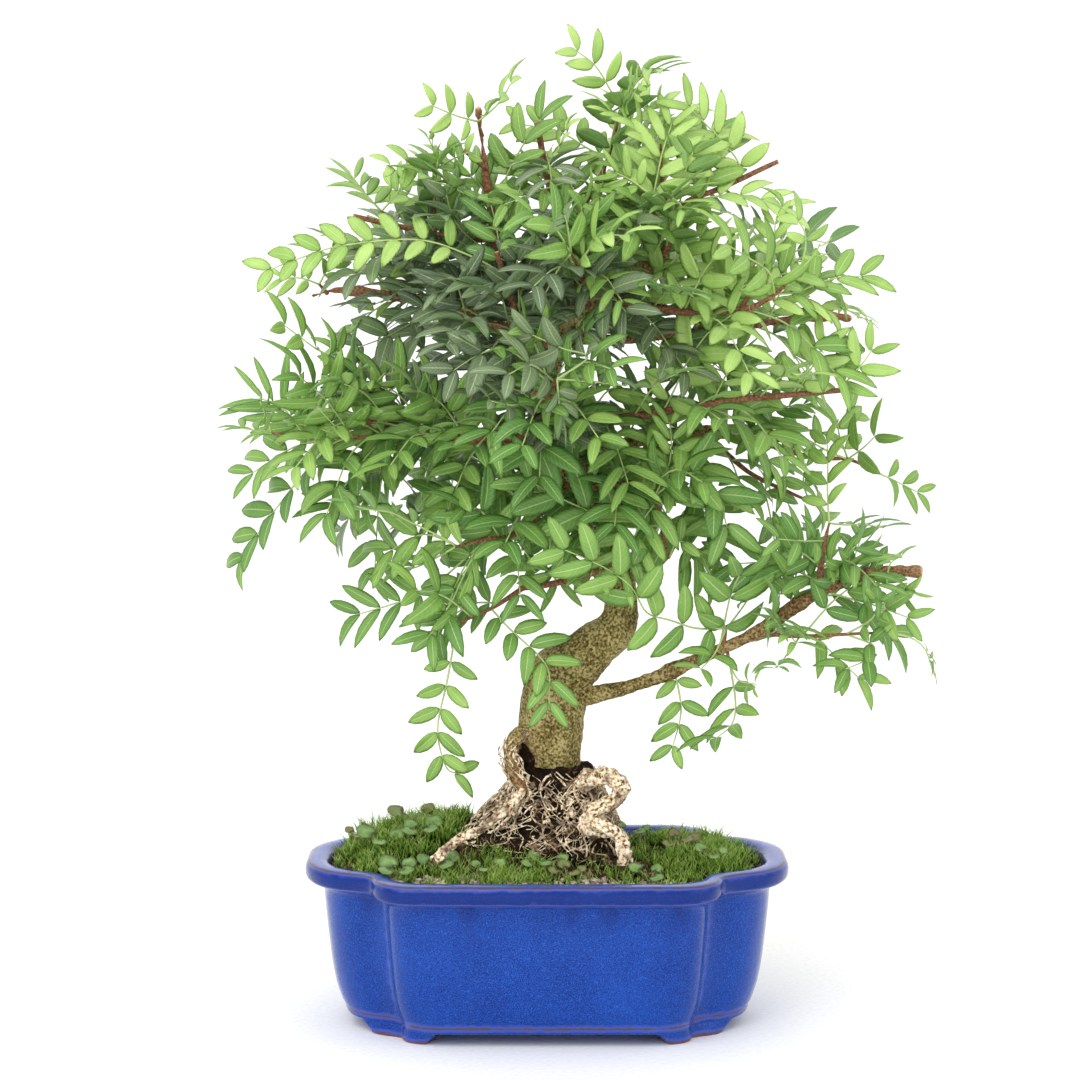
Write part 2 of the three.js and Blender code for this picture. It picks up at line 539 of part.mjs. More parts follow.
// Pot outline: two long lobes and two short ones that meet in four notches.
function potOutline() {
  const quarter = new THREE.Path();
  quarter.moveTo(POT_HALF_LENGTH, 0);
  quarter.lineTo(POT_HALF_LENGTH, 14);
  quarter.quadraticCurveTo(118, 37, 102, 46);
  quarter.quadraticCurveTo(92, 50, 86, 57);
  quarter.quadraticCurveTo(84, 79, 64, 81.4);
  quarter.lineTo(0, POT_HALF_DEPTH);
  const points = quarter.getPoints(CURVE_STEPS);
  const corner = points.slice(0, -1);
  const back = points.slice(1).reverse();
  return [
    ...corner,
    ...back.map((p) => new THREE.Vector2(-p.x, p.y)),
    ...corner.map((p) => new THREE.Vector2(-p.x, -p.y)),
    ...back.map((p) => new THREE.Vector2(p.x, -p.y)),
  ];
}

const OUTLINE = potOutline();

// The outline drawn in by an inset, at a height.
function potRing(inset, height) {
  const across = (POT_HALF_LENGTH - inset) / POT_HALF_LENGTH;
  const along = (POT_HALF_DEPTH - inset) / POT_HALF_DEPTH;
  return OUTLINE.map((p) => vector(p.x * across, p.y * along, height));
}

// The inset of the pot's inner wall at a height.
function wallInset(height) {
  const { mapLinear } = THREE.MathUtils;
  return height > WALL_KNEE
    ? mapLinear(height, WALL_KNEE, POT_HEIGHT, KNEE_INSET, LIP_INSET)
    : mapLinear(height, POT_FLOOR, WALL_KNEE, FLOOR_INSET, KNEE_INSET);
}

// A foot under a notch: a bracket that leans in from the pot's base down to its sole.
function potFoot(quarterIndex) {
  const perQuarter = OUTLINE.length / 4;
  const forward = quarterIndex % 2 === 0;
  const middle = forward ? NOTCH : perQuarter - NOTCH;
  const before = forward ? 3 : 2;
  const indexes = [];
  for (let i = middle - before; i < middle - before + FOOT_POINTS; i += 1) {
    indexes.push((quarterIndex * perQuarter + i) % OUTLINE.length);
  }
  return loft(FOOT_PROFILE.map(([outer, inner, spread, height]) => {
    const [front, back] = [potRing(outer, height), potRing(inner, height)];
    const notch = front[(quarterIndex * perQuarter + middle) % OUTLINE.length];
    return [...indexes.map((i) => front[i]), ...indexes.slice().reverse().map((i) => back[i])]
      .map((p) => notch.clone().lerp(p, spread));
  }));
}

function potSolid() {
  const outside = POT_PROFILE.map(([inset, height]) => potRing(inset, height));
  const inside = [POT_HEIGHT, WALL_KNEE, POT_FLOOR].map((height) => potRing(wallInset(height), height));
  const shell = loft([...outside, ...inside]);
  const drain = new THREE.CylinderGeometry(DRAIN_RADIUS, DRAIN_RADIUS, 2 * (POT_FLOOR - SOLE), DRAIN_SIDES);
  drain.rotateX(Math.PI / 2);
  const drains = [-1, 1].map((end) => solidOf(drain.clone().translate(end * DRAIN_OFFSET, 0, POT_FLOOR)));
  const feet = [0, 1, 2, 3].map(potFoot);
  return joined([shell, ...feet]).subtract(joined(drains));
}

// A square mesh of plastic bars over a drain hole.
function screenSolid(x) {
  const z = POT_FLOOR + GAP + SCREEN_THICKNESS / 2;
  const pitch = (SCREEN_SIDE - SCREEN_BAR) / SCREEN_CELLS;
  const cell = pitch - SCREEN_BAR;
  const plate = new THREE.BoxGeometry(SCREEN_SIDE, SCREEN_SIDE, SCREEN_THICKNESS).translate(x, 0, z);
  const cells = Array.from({ length: SCREEN_CELLS * SCREEN_CELLS }, (_, i) => {
    const u = ((i % SCREEN_CELLS) - (SCREEN_CELLS - 1) / 2) * pitch;
    const v = (Math.floor(i / SCREEN_CELLS) - (SCREEN_CELLS - 1) / 2) * pitch;
    return solidOf(new THREE.BoxGeometry(cell, cell, 3 * SCREEN_THICKNESS).translate(x + u, v, z));
  });
  return solidOf(plate).subtract(joined(cells));
}

// The height of the earth, which rises towards the tree.
function soilTop(x, y) {
  const across = (x - SOIL_CREST.x) / SOIL_SPREAD.x;
  const along = (y - SOIL_CREST.y) / SOIL_SPREAD.y;
  return SOIL_EDGE + SOIL_RISE * Math.exp(-(across * across + along * along));
}

function soilRing(spread) {
  const inset = wallInset(SOIL_EDGE) + GAP;
  return potRing(inset, 0).map((p) => {
    const x = p.x * spread;
    const y = p.y * spread;
    return vector(x, y, soilTop(x, y));
  });
}

function soilSolid() {
  const low = POT_FLOOR + GAP;
  return loft([
    potRing(wallInset(low) + GAP, low),
    potRing(wallInset(WALL_KNEE) + GAP, WALL_KNEE),
    ...SOIL_RINGS.map(soilRing),
  ]);
}

// Earth bound by matted roots: steep on the right, spreading on the left.
function moundPoint(turn, level, grow) {
  const wide = Math.cos(turn) > 0 ? MOUND_RIGHT : MOUND_LEFT;
  const x = MOUND_X + wide * Math.cos(turn);
  const y = MOUND_DEPTH * Math.sin(turn);
  const foot = Math.hypot(x - MOUND_X, y);
  const shoulder = soilTop(x, y) + MOUND_SHOULDER;
  const height = shoulder + (MOUND_TOP - shoulder) * level;
  const flank = MOUND_FLANK - MOUND_LEAN * Math.cos(turn);
  const ridge = 1 + MOUND_RIDGE * Math.sin(4 * turn + 5 * level) * Math.sin(Math.PI * level);
  const reach = (MOUND_TOP_RADIUS + (foot - MOUND_TOP_RADIUS) * (1 - level) ** flank) * ridge + grow;
  const way = new THREE.Vector2(x - MOUND_X, y).normalize();
  return vector(MOUND_X + way.x * reach, way.y * reach, height);
}

function moundSolid(grow) {
  const ring = (level) => Array.from({ length: MOUND_SIDES }, (_, i) => (
    moundPoint((i / MOUND_SIDES) * 2 * Math.PI, level, grow)));
  const base = ring(0).map((p) => vector(p.x, p.y, MOUND_BOTTOM - grow));
  const levels = MOUND_LEVELS.slice().reverse();
  return loft([base, ...levels.map(ring)]);
}

// A low cushion of moss, cut to lie on the earth.
function mossSolid({ x, y, across, along, height, phase }) {
  const ring = (spread) => Array.from({ length: MOSS_SIDES }, (_, i) => {
    const turn = (i / MOSS_SIDES) * 2 * Math.PI;
    const wave = MOSS_LOBES.reduce((sum, [lobes, depth], k) => (
      sum + depth * Math.sin(lobes * turn + (k + 1) * phase)), 0);
    const edge = spread * (1 + wave);
    const px = x + across * edge * Math.cos(turn);
    const py = y + along * edge * Math.sin(turn);
    const swell = Math.sqrt(Math.max(1 - spread * spread, 0));
    const tuft = MOSS_TUFT * Math.sin(px / 5 + phase) * Math.cos(py / 6);
    return vector(px, py, soilTop(px, py) + MOSS_RISE + height * swell + tuft);
  });
  const base = ring(1).map((p) => vector(p.x, p.y, SOIL_EDGE - MOSS_ROOT));
  return loft([base, ...MOSS_RINGS.map(ring)]);
}

// A root's path and radii: its points, then the radius at each end.
function rootSolid(points, from, to, grow) {
  const path = points.map(at);
  return limb(path, taper(path.length, from, to), ROOT_SIDES, grow);
}

// Small round-leaved weeds: stalks from a crown in the earth, each with one round leaf.
function weedSolid(x, y, stalks, reach, leafRadius, seed) {
  const ground = soilTop(x, y);
  const parts = [limb([vector(x, y, ground - 4), vector(x, y, ground + 3)], WEED_CROWN, ROOT_SIDES)];
  for (let i = 0; i < stalks; i += 1) {
    const turn = ((i + 0.6 * scatter(i, seed)) / stalks) * 2 * Math.PI;
    const out = reach * (0.7 + 0.5 * scatter(i, seed + 1));
    const rise = reach * (0.45 + 0.5 * scatter(i, seed + 2));
    const tip = vector(x + out * Math.cos(turn), y + out * Math.sin(turn), ground + 3 + rise);
    const start = vector(x, y, ground + 1);
    parts.push(limb([start, tip], WEED_STALK, 3));
    const disc = new THREE.CylinderGeometry(leafRadius, leafRadius * 0.86, WEED_BLADE, WEED_LEAF_SIDES);
    disc.rotateX(Math.PI / 2 - radians(WEED_TILT)).rotateZ(turn - Math.PI / 2);
    disc.translate(tip.x, tip.y, tip.z + 0.2);
    parts.push(solidOf(disc));
  }
  return joined(parts);
}

// The point of a limb nearest to where a stem is said to start.
function rootPoint(points, [across, up]) {
  let best = null;
  for (let i = 0; i + 1 < points.length; i += 1) {
    const [ax, ay, ad] = points[i];
    const [bx, by, bd] = points[i + 1];
    const length = (bx - ax) ** 2 + (by - ay) ** 2;
    const along = THREE.MathUtils.clamp(((across - ax) * (bx - ax) + (up - ay) * (by - ay)) / length, 0, 1);
    const x = ax + (bx - ax) * along;
    const y = ay + (by - ay) * along;
    const far = Math.hypot(x - across, y - up);
    if (best === null || far < best.far) {
      best = { far, point: [x, y, ad + (bd - ad) * along] };
    }
  }
  return best.point;
}

const SPINES = { trunk: TRUNK.map((p) => p.slice(0, 3)) };
Object.entries(LIMBS).forEach(([name, points]) => {
  SPINES[name] = points.slice(0, -2);
});

// A compound leaf: a winged rachis with pairs of leaflets and none at its tip.
function leafSolid(start, spec, bend, face, seed, grow) {
  const [, points, truePairs, trueLong, trueWide, lean = 0, roll = 0] = spec;
  const pairs = Math.round(truePairs * PAIRS_KEPT);
  const long = trueLong * LEAFLET_STRETCH;
  const wide = trueWide * LEAFLET_SPREAD;
  const [back, turn, size] = bend;
  const last = points.length;
  const spine = [start, ...points.map(([across, up], i) => {
    const depth = start[2] + ((lean + back) * (i + 1)) / last;
    const shrink = 1 - (1 - size) * 0.7;
    return [start[0] + (across - start[0]) * shrink, start[1] + (up - start[1]) * shrink, depth];
  })];
  const path = smooth(spine.map(at));
  const lengths = [0];
  for (let i = 1; i < path.length; i += 1) {
    lengths.push(lengths[i - 1] + path[i].distanceTo(path[i - 1]));
  }
  const total = lengths[lengths.length - 1];
  const along = (s) => {
    let i = 1;
    while (i < path.length - 1 && lengths[i] < s) {
      i += 1;
    }
    const share = (s - lengths[i - 1]) / (lengths[i] - lengths[i - 1]);
    return path[i - 1].clone().lerp(path[i], share);
  };
  const foot = LEAFLET_FOOT * Math.min(1, total / (pairs * 4));
  const lastPair = total - foot / 2;
  const spacing = Math.min((lastPair - Math.min(6, total * 0.3)) / (pairs - 1), wide * 1.25 + 3);
  const firstPair = lastPair - (pairs - 1) * spacing;
  const stations = [];
  const pieces = Math.max(1, Math.ceil((firstPair - foot / 2) / PETIOLE_PIECE));
  for (let i = 0; i < pieces; i += 1) {
    stations.push(((firstPair - foot / 2) * i) / pieces);
  }
  for (let j = 0; j < pairs; j += 1) {
    stations.push(firstPair + j * spacing - foot / 2, firstPair + j * spacing + foot / 2);
  }
  const mid = [];
  const loop = { right: [], left: [] };
  const top = [];
  const frames = stations.map((s) => {
    const p = along(s);
    const tangent = along(Math.min(s + 1, total)).sub(along(Math.max(s - 1, 0))).normalize();
    const up = face.clone().addScaledVector(tangent, -face.dot(tangent)).normalize();
    up.applyAxisAngle(tangent, radians(roll + turn + 14 * (scatter(seed, 3) - 0.5)));
    const left = up.clone().cross(tangent);
    return { p, tangent, up, left };
  });
  const half = RACHIS_HALF + grow;
  const rails = frames.map(({ p, up, left }) => {
    mid.push({ p: p.clone().addScaledVector(left, half), up });
    mid.push({ p: p.clone().addScaledVector(left, -half), up });
    return { left: mid.length - 2, right: mid.length - 1 };
  });
  for (let i = 0; i + 1 < rails.length; i += 1) {
    const a = rails[i];
    const b = rails[i + 1];
    top.push([a.right, b.right, b.left], [a.right, b.left, a.left]);
  }
  for (let i = 0; i < pieces; i += 1) {
    loop.left.push(rails[i].left);
    loop.right.push(rails[i].right);
  }
  for (let j = 0; j < pairs; j += 1) {
    const first = pieces + 2 * j;
    const { tangent, up, left } = frames[first];
    const share = j / Math.max(pairs - 1, 1);
    const angle = radians(BASE_ANGLE + (TIP_ANGLE - BASE_ANGLE) * share);
    const nextStep = radians((BASE_ANGLE - TIP_ANGLE) / Math.max(pairs - 1, 1));
    const middle = 1 - 0.18 * Math.abs(share - 0.5) * 2;
    ['left', 'right'].forEach((name, k) => {
      const side = name === 'left' ? left : left.clone().negate();
      const length = long * size * middle * (0.92 + 0.16 * scatter(seed * 31 + j, k)) + grow;
      const room = spacing * Math.sin(angle - nextStep) + WIDEST * length * Math.sin(nextStep);
      const width = Math.min(wide * size * middle, (room - 0.6) * 0.96) + 2 * grow;
      const lift = radians(FOLD + 12 * (scatter(seed * 31 + j, k + 5) - 0.5));
      const swing = angle + radians(6 * (scatter(seed * 17 + j, k + 9) - 0.5));
      const out = side.clone().multiplyScalar(Math.cos(lift)).addScaledVector(up, Math.sin(lift));
      const axis = tangent.clone().multiplyScalar(Math.cos(swing)).addScaledVector(out, Math.sin(swing));
      const normal = up.clone().addScaledVector(axis, -up.dot(axis)).normalize();
      const forward = name === 'left' ? axis.clone().cross(normal) : normal.clone().cross(axis);
      const foot0 = mid[rails[first][name]].p;
      const foot1 = mid[rails[first + 1][name]].p;
      const root = foot0.clone().lerp(foot1, 0.5);
      const widest = root.clone().addScaledVector(axis, WIDEST * length)
        .addScaledVector(normal, ARCH * length);
      const tip = root.clone().addScaledVector(axis, length).addScaledVector(normal, -ARCH * length);
      const n = mid.length;
      mid.push({ p: widest.clone().addScaledVector(forward, -width / 2), up: normal });
      mid.push({ p: widest.clone().addScaledVector(forward, width / 2), up: normal });
      mid.push({ p: tip, up: normal });
      const [a, b] = [rails[first][name], rails[first + 1][name]];
      if (name === 'left') {
        top.push([b, n + 1, n], [b, n, a], [n + 1, n + 2, n]);
      } else {
        top.push([a, n, n + 1], [a, n + 1, b], [n, n + 2, n + 1]);
      }
      loop[name].push(a, n, n + 2, n + 1, b);
    });
  }
  const rim = [...loop.right, ...loop.left.reverse()];
  const thick = BLADE / 2 + grow;
  const vertices = [
    ...mid.map(({ p, up }) => p.clone().addScaledVector(up, thick)),
    ...mid.map(({ p, up }) => p.clone().addScaledVector(up, -thick)),
  ];
  const below = mid.length;
  const faces = top.flatMap(([a, b, c]) => [[a, b, c], [below + a, below + c, below + b]]);
  rim.forEach((a, i) => {
    const b = rim[(i + 1) % rim.length];
    faces.push([below + a, below + b, b], [below + a, b, a]);
  });
  return solid(vertices, faces);
}

// Whether two bounding boxes meet.
function boxesMeet(a, b) {
  return [0, 1, 2].every((k) => a.min[k] <= b.max[k] && b.min[k] <= a.max[k]);
}

const placed = [];

function place(owner, shape) {
  placed.push({ owner, shape, box: shape.boundingBox() });
}

// Whether a solid is clear of every placed solid of other nodes.
function isClear(owner, fat) {
  const box = fat.boundingBox();
  return placed.every((other) => other.owner === owner || !boxesMeet(box, other.box)
    || other.shape.intersect(fat).isEmpty());
}

// Trunk and limbs as one body.
function limbSolids(grow) {
  const trunkPath = TRUNK.map((p) => at(p.slice(0, 3)));
  const solids = [limb(trunkPath, TRUNK.map((p) => p[3]), TRUNK_SIDES, grow)];
  Object.values(LIMBS).forEach((points) => {
    const [from, to] = points.slice(-2);
    const path = points.slice(0, -2).map(at);
    solids.push(limb(path, taper(path.length, from, to), from > THICK_LIMB ? LIMB_SIDES : TWIG_SIDES, grow));
  });
  return joined(solids);
}

// A back stem's leaves: in turn to each side of it, drooping outward, by rule.
function ruledLeaves(stem, seed) {
  const leaves = [];
  const tip = stem.length - 1;
  for (let i = 0; i < 3; i += 1) {
    const index = i < 1 ? 1 : tip;
    const [x, y] = stem[index];
    const turn = 2.4 * i + seed * 1.7;
    const reach = 26 + 8 * scatter(i, seed);
    const mid = [x + 0.5 * reach * Math.cos(turn), y + 0.5 * reach * Math.sin(turn) + 3];
    const end = [x + reach * Math.cos(turn), y + reach * Math.sin(turn)];
    const away = (stem[index][2] < 0 ? -1 : 1) * (8 + 10 * scatter(i, seed + 4));
    leaves.push([index, [mid, end], 3, 23, 9, away, 0]);
  }
  return leaves;
}

// Ground pieces
const bowl = loft([
  potRing(wallInset(POT_FLOOR) + MOSS_EDGE, POT_FLOOR + GAP),
  potRing(wallInset(WALL_KNEE) + MOSS_EDGE, WALL_KNEE),
  potRing(wallInset(POT_HEIGHT) + MOSS_EDGE, POT_HEIGHT),
  potRing(wallInset(POT_HEIGHT) + MOSS_EDGE, 2 * POT_HEIGHT),
]);
const screens = [-1, 1].map((end) => screenSolid(end * DRAIN_OFFSET));
const pocket = new THREE.BoxGeometry(
  SCREEN_SIDE + 2 * GAP, SCREEN_SIDE + 2 * GAP, 2 * (SCREEN_THICKNESS + GAP));
const pockets = [-1, 1].map((end) => (
  solidOf(pocket.clone().translate(end * DRAIN_OFFSET, 0, POT_FLOOR + GAP))));

const roots = (grow) => [
  rootSolid(ROOT_LEFT, 3.6, 2.2, grow),
  rootSolid(ROOT_LOOP, 4.2, 3.2, grow),
];

const trunkBody = limbSolids(0).add(rootSolid(COLLAR_ROOT, 4.2, 2.6, 0));
const trunkFat = limbSolids(GAP);
const trunkCut = trunkFat.add(rootSolid(COLLAR_ROOT, 4.2, 2.6, GAP))
  .add(limb([vector(TRUNK[0][0], 0, SOCKET - GAP), vector(TRUNK[0][0], 0, SOCKET + SOCKET_DEPTH)],
    [SOCKET_RADIUS, SOCKET_RADIUS], TRUNK_SIDES));
const rootCut = joined(roots(GAP));
const [rootLeft, rootLoop] = roots(0).map((root) => mainBody(root.subtract(trunkCut)));

const weeds = WEEDS.map((w) => weedSolid(w.x, w.y, w.stalks, w.reach, w.leafRadius, w.seed));
const weedHoles = WEEDS.map((w) => {
  const ground = soilTop(w.x, w.y);
  return limb([vector(w.x, w.y, ground - 4 - GAP), vector(w.x, w.y, ground + 20)], [2, 2], 8);
});

const mound = mainBody(moundSolid(0).subtract(trunkCut).subtract(rootCut));
const soil = mainBody(soilSolid()
  .subtract(moundSolid(GAP))
  .subtract(rootCut)
  .subtract(joined([...pockets, ...weedHoles])));
const overSoil = soilSolid().translate([0, 0, GAP]);
const leafShade = joined(WEEDS.map((w) => {
  const ground = soilTop(w.x, w.y);
  const reach = w.reach * 1.2 + w.leafRadius;
  return limb([vector(w.x, w.y, ground - 9), vector(w.x, w.y, ground + 60)], [reach, reach], 10);
}));
const clearMoss = (moss) => mainBody(moss
  .subtract(overSoil)
  .subtract(moundSolid(GAP))
  .subtract(rootCut)
  .subtract(leafShade)
  .intersect(bowl));

const group = new THREE.Group();
const pieces = [];

function piece(name, shape, color, roughness) {
  pieces.push({ name, shape, color, roughness });
  place(name, shape);
}

piece('pot', potSolid(), '#2a4fb0', 0.28);
piece('drain_screen_left', screens[0], '#2f3a36', 0.6);
piece('drain_screen_right', screens[1], '#2f3a36', 0.6);
piece('soil', soil, '#5a4636', 1);
piece('root_mound', mound, '#4e3a2b', 1);
piece('root_left', rootLeft, '#b79b78', 0.85);
piece('root_loop', rootLoop, '#b79b78', 0.85);
MOSSES.forEach((moss) => piece(moss.name, clearMoss(mossSolid(moss)), '#6f9a33', 1));
WEEDS.forEach((w, i) => piece(w.name, weeds[i], '#7fb045', 0.6));
piece('trunk', trunkBody, '#8d7156', 0.9);

// Every twig is set before any leaf, so that the leaves keep clear of all of them.
const sprays = [
  ...FRONT_SPRAYS.map((spray) => ({ ...spray, face: FRONT_FACE, color: '#5f9f38' })),
  ...BACK_SPRAYS.map((spray, i) => ({
    ...spray, radius: 2.3, face: spray.stem[2][2] < 0 ? FRONT_FACE : BACK_FACE,
    leaves: ruledLeaves(spray.stem, i), color: '#4c7a3c',
  })),
];

const crowded = [];
sprays.forEach((spray) => {
  spray.stem[0] = rootPoint(SPINES[spray.limb], spray.stem[0]);
  spray.shape = null;
  if (spray.stem.length === 1) {
    return;
  }
  const last = spray.stem.length - 1;
  let kept = null;
  SWAYS.some((sway) => {
    const stem = spray.stem.map(([x, y, d], i) => [x, y, d + (sway * i) / last]);
    const radii = taper(stem.length, spray.radius, TWIG_TIP);
    const twig = (grow) => limb(stem.map(at), radii, TWIG_SIDES, grow);
    const bodies = twig(0).subtract(trunkFat).decompose();
    if (bodies.length === 1 && isClear('trunk', twig(CLEARANCE))) {
      kept = { stem, solid: bodies[0] };
    }
    return kept !== null;
  });
  if (kept === null) {
    crowded.push(spray.name);
    return;
  }
  spray.stem = kept.stem;
  spray.shape = kept.solid;
  place(spray.name, kept.solid);
});
if (crowded.length > 0) {
  throw new Error(`no clear way for ${crowded.join(', ')}`);
}

let seed = 0;
sprays.forEach((spray) => {
  spray.leaves.forEach((leaf) => {
    seed += 1;
    const start = spray.stem[leaf[0]];
    let kept = null;
    BENDS.some((bend) => {
      const bodies = leafSolid(start, leaf, bend, spray.face, seed, 0).subtract(trunkFat).decompose();
      const fat = leafSolid(start, leaf, bend, spray.face, seed, CLEARANCE);
      if (bodies.length > 1 || !isClear(spray.name, fat.subtract(trunkFat))) {
        return false;
      }
      const shape = spray.shape ? spray.shape.add(bodies[0]) : bodies[0];
      const crossings = spray.shape ? shape.numTri() - spray.shape.numTri() - bodies[0].numTri() : 0;
      if (shape.decompose().length === 1 && (kept === null || crossings < kept.crossings)) {
        kept = { crossings, shape, leaf: bodies[0] };
      }
      return kept !== null && kept.crossings <= FEW_CROSSINGS;
    });
    if (kept !== null) {
      spray.shape = kept.shape;
      place(spray.name, kept.leaf);
    }
  });
  pieces.push({ name: spray.name, shape: spray.shape, color: spray.color, roughness: 0.55 });
});

// The origin is under the middle of the whole, level with the soles: the shift brings it there.
const bounds = pieces.map(({ shape }) => shape.boundingBox());
const middle = [0, 1].map((k) => (
  (Math.min(...bounds.map((b) => b.min[k])) + Math.max(...bounds.map((b) => b.max[k]))) / 2));

pieces.forEach(({ name, shape, color, roughness }) => {
  const { points, faces } = cleanMesh(shape);
  const used = [...new Set(faces.flat())];
  const places = new Map(used.map((index, i) => [index, i]));
  const geometry = new THREE.BufferGeometry().setFromPoints(used.map((i) => points[i]));
  geometry.setIndex(faces.flat().map((i) => places.get(i)));
  geometry.translate(-middle[0], -middle[1], -SOLE);
  geometry.computeVertexNormals();
  const mesh = new THREE.Mesh(geometry, new THREE.MeshStandardMaterial({ color, roughness }));
  mesh.name = name;
  group.add(mesh);
});

export default group;
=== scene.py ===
"""A mastic tree bonsai in a lobed blue pot: the finish of every surface and the fine pieces."""

import math

import bpy
import numpy as np
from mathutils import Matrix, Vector, kdtree, noise


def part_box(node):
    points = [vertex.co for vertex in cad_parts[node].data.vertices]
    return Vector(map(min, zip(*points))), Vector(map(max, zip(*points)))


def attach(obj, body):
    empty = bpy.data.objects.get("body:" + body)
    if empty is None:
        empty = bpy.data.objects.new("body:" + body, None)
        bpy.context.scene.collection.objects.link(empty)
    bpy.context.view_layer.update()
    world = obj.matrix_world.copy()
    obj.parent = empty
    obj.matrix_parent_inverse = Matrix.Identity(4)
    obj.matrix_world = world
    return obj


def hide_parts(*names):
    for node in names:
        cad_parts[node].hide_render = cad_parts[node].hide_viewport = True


bl_info = {
    "name": "Mastic Tree Bonsai",
    "version": (1, 0, 0),
    "blender": (4, 5, 0),
    "location": "3D View > Sidebar > Bonsai",
    "description": "Dresses the packed mastic tree bonsai with glaze, bark, roots, moss and leaflets",
    "category": "Object",
}

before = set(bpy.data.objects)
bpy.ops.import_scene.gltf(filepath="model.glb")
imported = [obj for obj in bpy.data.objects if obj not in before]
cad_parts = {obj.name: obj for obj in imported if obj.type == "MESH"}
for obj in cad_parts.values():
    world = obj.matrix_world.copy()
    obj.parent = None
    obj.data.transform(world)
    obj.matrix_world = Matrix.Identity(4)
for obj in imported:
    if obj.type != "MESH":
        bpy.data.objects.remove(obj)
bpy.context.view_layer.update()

MM = 0.001
POT_LOW, POT_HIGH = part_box("pot")
# Heights are counted from the base moulding, and the soles of the feet lie below it.
SOLE = -8
POT_CENTRE = np.array([(POT_LOW.x + POT_HIGH.x) / 2, (POT_LOW.y + POT_HIGH.y) / 2, -SOLE * MM]) / MM

# Pot, in millimetres about its own middle
POT_HALF_LENGTH = 121
POT_HALF_DEPTH = 82
POT_HEIGHT = 76
POT_FLOOR = 5
WALL_KNEE = 60
LIP_INSET = 11.5
KNEE_INSET = 15
FLOOR_INSET = 25.5
DRAIN_RADIUS = 8
DRAIN_OFFSET = 50

# The curves of a quarter of its outline, each a start, a pull and an end: the short lobe's
# shoulder, its run into the notch, and the long lobe's shoulder. Flat sides join them.
SHORT_FLAT = 14
LOBE_CURVES = [
    ((121, 14), (118, 37), (102, 46)), ((102, 46), (92, 50), (86, 57)), ((86, 57), (84, 79), (64, 81.4)),
]
LONG_BOW = 0.6
CURVE_STEPS = 8
FLAT_STEPS = 16

# How far each ring is drawn in from the outline, and its height: the outer face upward,
# over the lip, and down the inner face to the floor.
POT_RINGS = [
    (20.8, -1.5), (20.4, -0.9), (19.9, 0.3), (19.6, 1.8), (19, 3.2), (18, 5), (16.6, 9), (15.1, 14),
    (13.9, 20), (12.8, 27), (11.9, 35), (11, 43), (10.2, 51), (9.6, 58.5), (9.3, 62.4), (8.4, 64),
    (5.2, 65.4), (2, 66.6), (0.6, 67.8), (0.1, 69.4), (0, 72.4), (0.4, 74.4), (1.4, 75.6), (3, 76),
    (6.5, 76.1), (9.6, 75.9), (11.2, 74.9), (12, 72.7), (13.4, 66.1), (15, 60), (18.6, 42), (22, 24),
    (24.6, 10), (27, 5.2), (29, 5),
]
OUTER_RINGS = 24

# A foot from its sole up: how far its outer and inner faces are drawn in, its spread about
# the notch, and the height.
FOOT_RINGS = [
    (20.6, 33.4, 0.62, -8), (20, 34, 0.66, -7.2), (20, 34.6, 0.68, -6.2), (20.2, 37, 0.78, -4),
    (20.6, 40.4, 0.92, -1.2), (21, 42, 1, 0),
]

# Where the long front lobe ends at a notch, beside which a painted reflection streaks the glaze.
NOTCH_CORNER = (86, 57)

# How thin the glaze is by height, partly painted reflection: the base moulding, the lip with its edges, and
# the feet.
# On the lip's top (76, 76.1 and 75.9) the lavender it gives is painted reflection of the light on the glossy
# rim.
THIN_GLAZE_AND_SHEEN = {
    0.3: 0.45, 1.8: 0.98, 3.2: 0.4, 64: 0.1, 65.4: 0.25, 66.6: 0.94, 67.8: 0.1, 74.4: 0.25, 75.6: 1.02,
    76: 0.66, 76.1: 0.4, 75.9: 0.5, 74.9: 0.85, 72.7: 0.5, -6.2: 0.75, -7.2: 1,
}

# Drips of thick glaze under the lip: where they hang and how wide they are, then the heights
# between which they show and how much of the thick glaze's colour they take.
DRIPS = [(-88, 5), (-38, 4.5), (12, 3), (31, 5), (65, 4)]
DRIPS_ABOVE = 50
DRIPS_BELOW = 65
DRIP_SHARE = 0.6

# Thick glaze also lies on the lip's face, between these heights.
LIP_FACE = (67.5, 74.6)
LIP_SHARE = 0.8

# Edges that turn by more than these degrees are hard, and are rounded over this width.
HARD_EDGE = 50
EDGE_WIDTH = 0.7

# Ground
SOIL_EDGE = 71
SOIL_RISE = 20
SOIL_CREST = (-18, 5)
SOIL_SPREAD = (56, 44)
# The earth stays this far off the wall, and its surface steps in from there by these shares.
SOIL_GAP = 0.3
SOIL_RINGS = (1, 0.97, 0.93, 0.88, 0.82, 0.75, 0.67, 0.58, 0.49, 0.4, 0.31, 0.22, 0.13, 0.05)
# Grit and moss keep this far off the wall.
SOWN_GAP = 1.6
GRIT_COUNT = 1500
FRONT_GRIT_COUNT = 420
MOUND_X = 3
MOUND_TOP = 122
MOUND_BOTTOM = 70
MOUND_TOP_RADIUS = 17
MOUND_LEFT = 48
MOUND_RIGHT = 34
MOUND_DEPTH = 38
MOUND_SIDES = 72
MOUND_LEVELS = (0, 0.06, 0.13, 0.2, 0.28, 0.36, 0.45, 0.54, 0.63, 0.72, 0.81, 0.9, 0.96, 1)
# Fine roots over the mound: the stouter ones, and those that wrap round it.
STOUT_ROOTS = 26
WRAPPED_ROOTS = 60

# Moss: the middle of each cushion, its half sizes, its height and the phase of its edge.
MOSSES = {
    "moss_left": {"x": -72, "y": 15, "across": 33, "along": 48, "height": 8, "phase": 1},
    "moss_right": {"x": 70, "y": 8, "across": 33, "along": 44, "height": 5.5, "phase": 4},
}
BLADE_HALF_WIDTH = 0.34

# Dark earth shows to the right of the mound, up to about here.
DARK_EARTH_END = 56

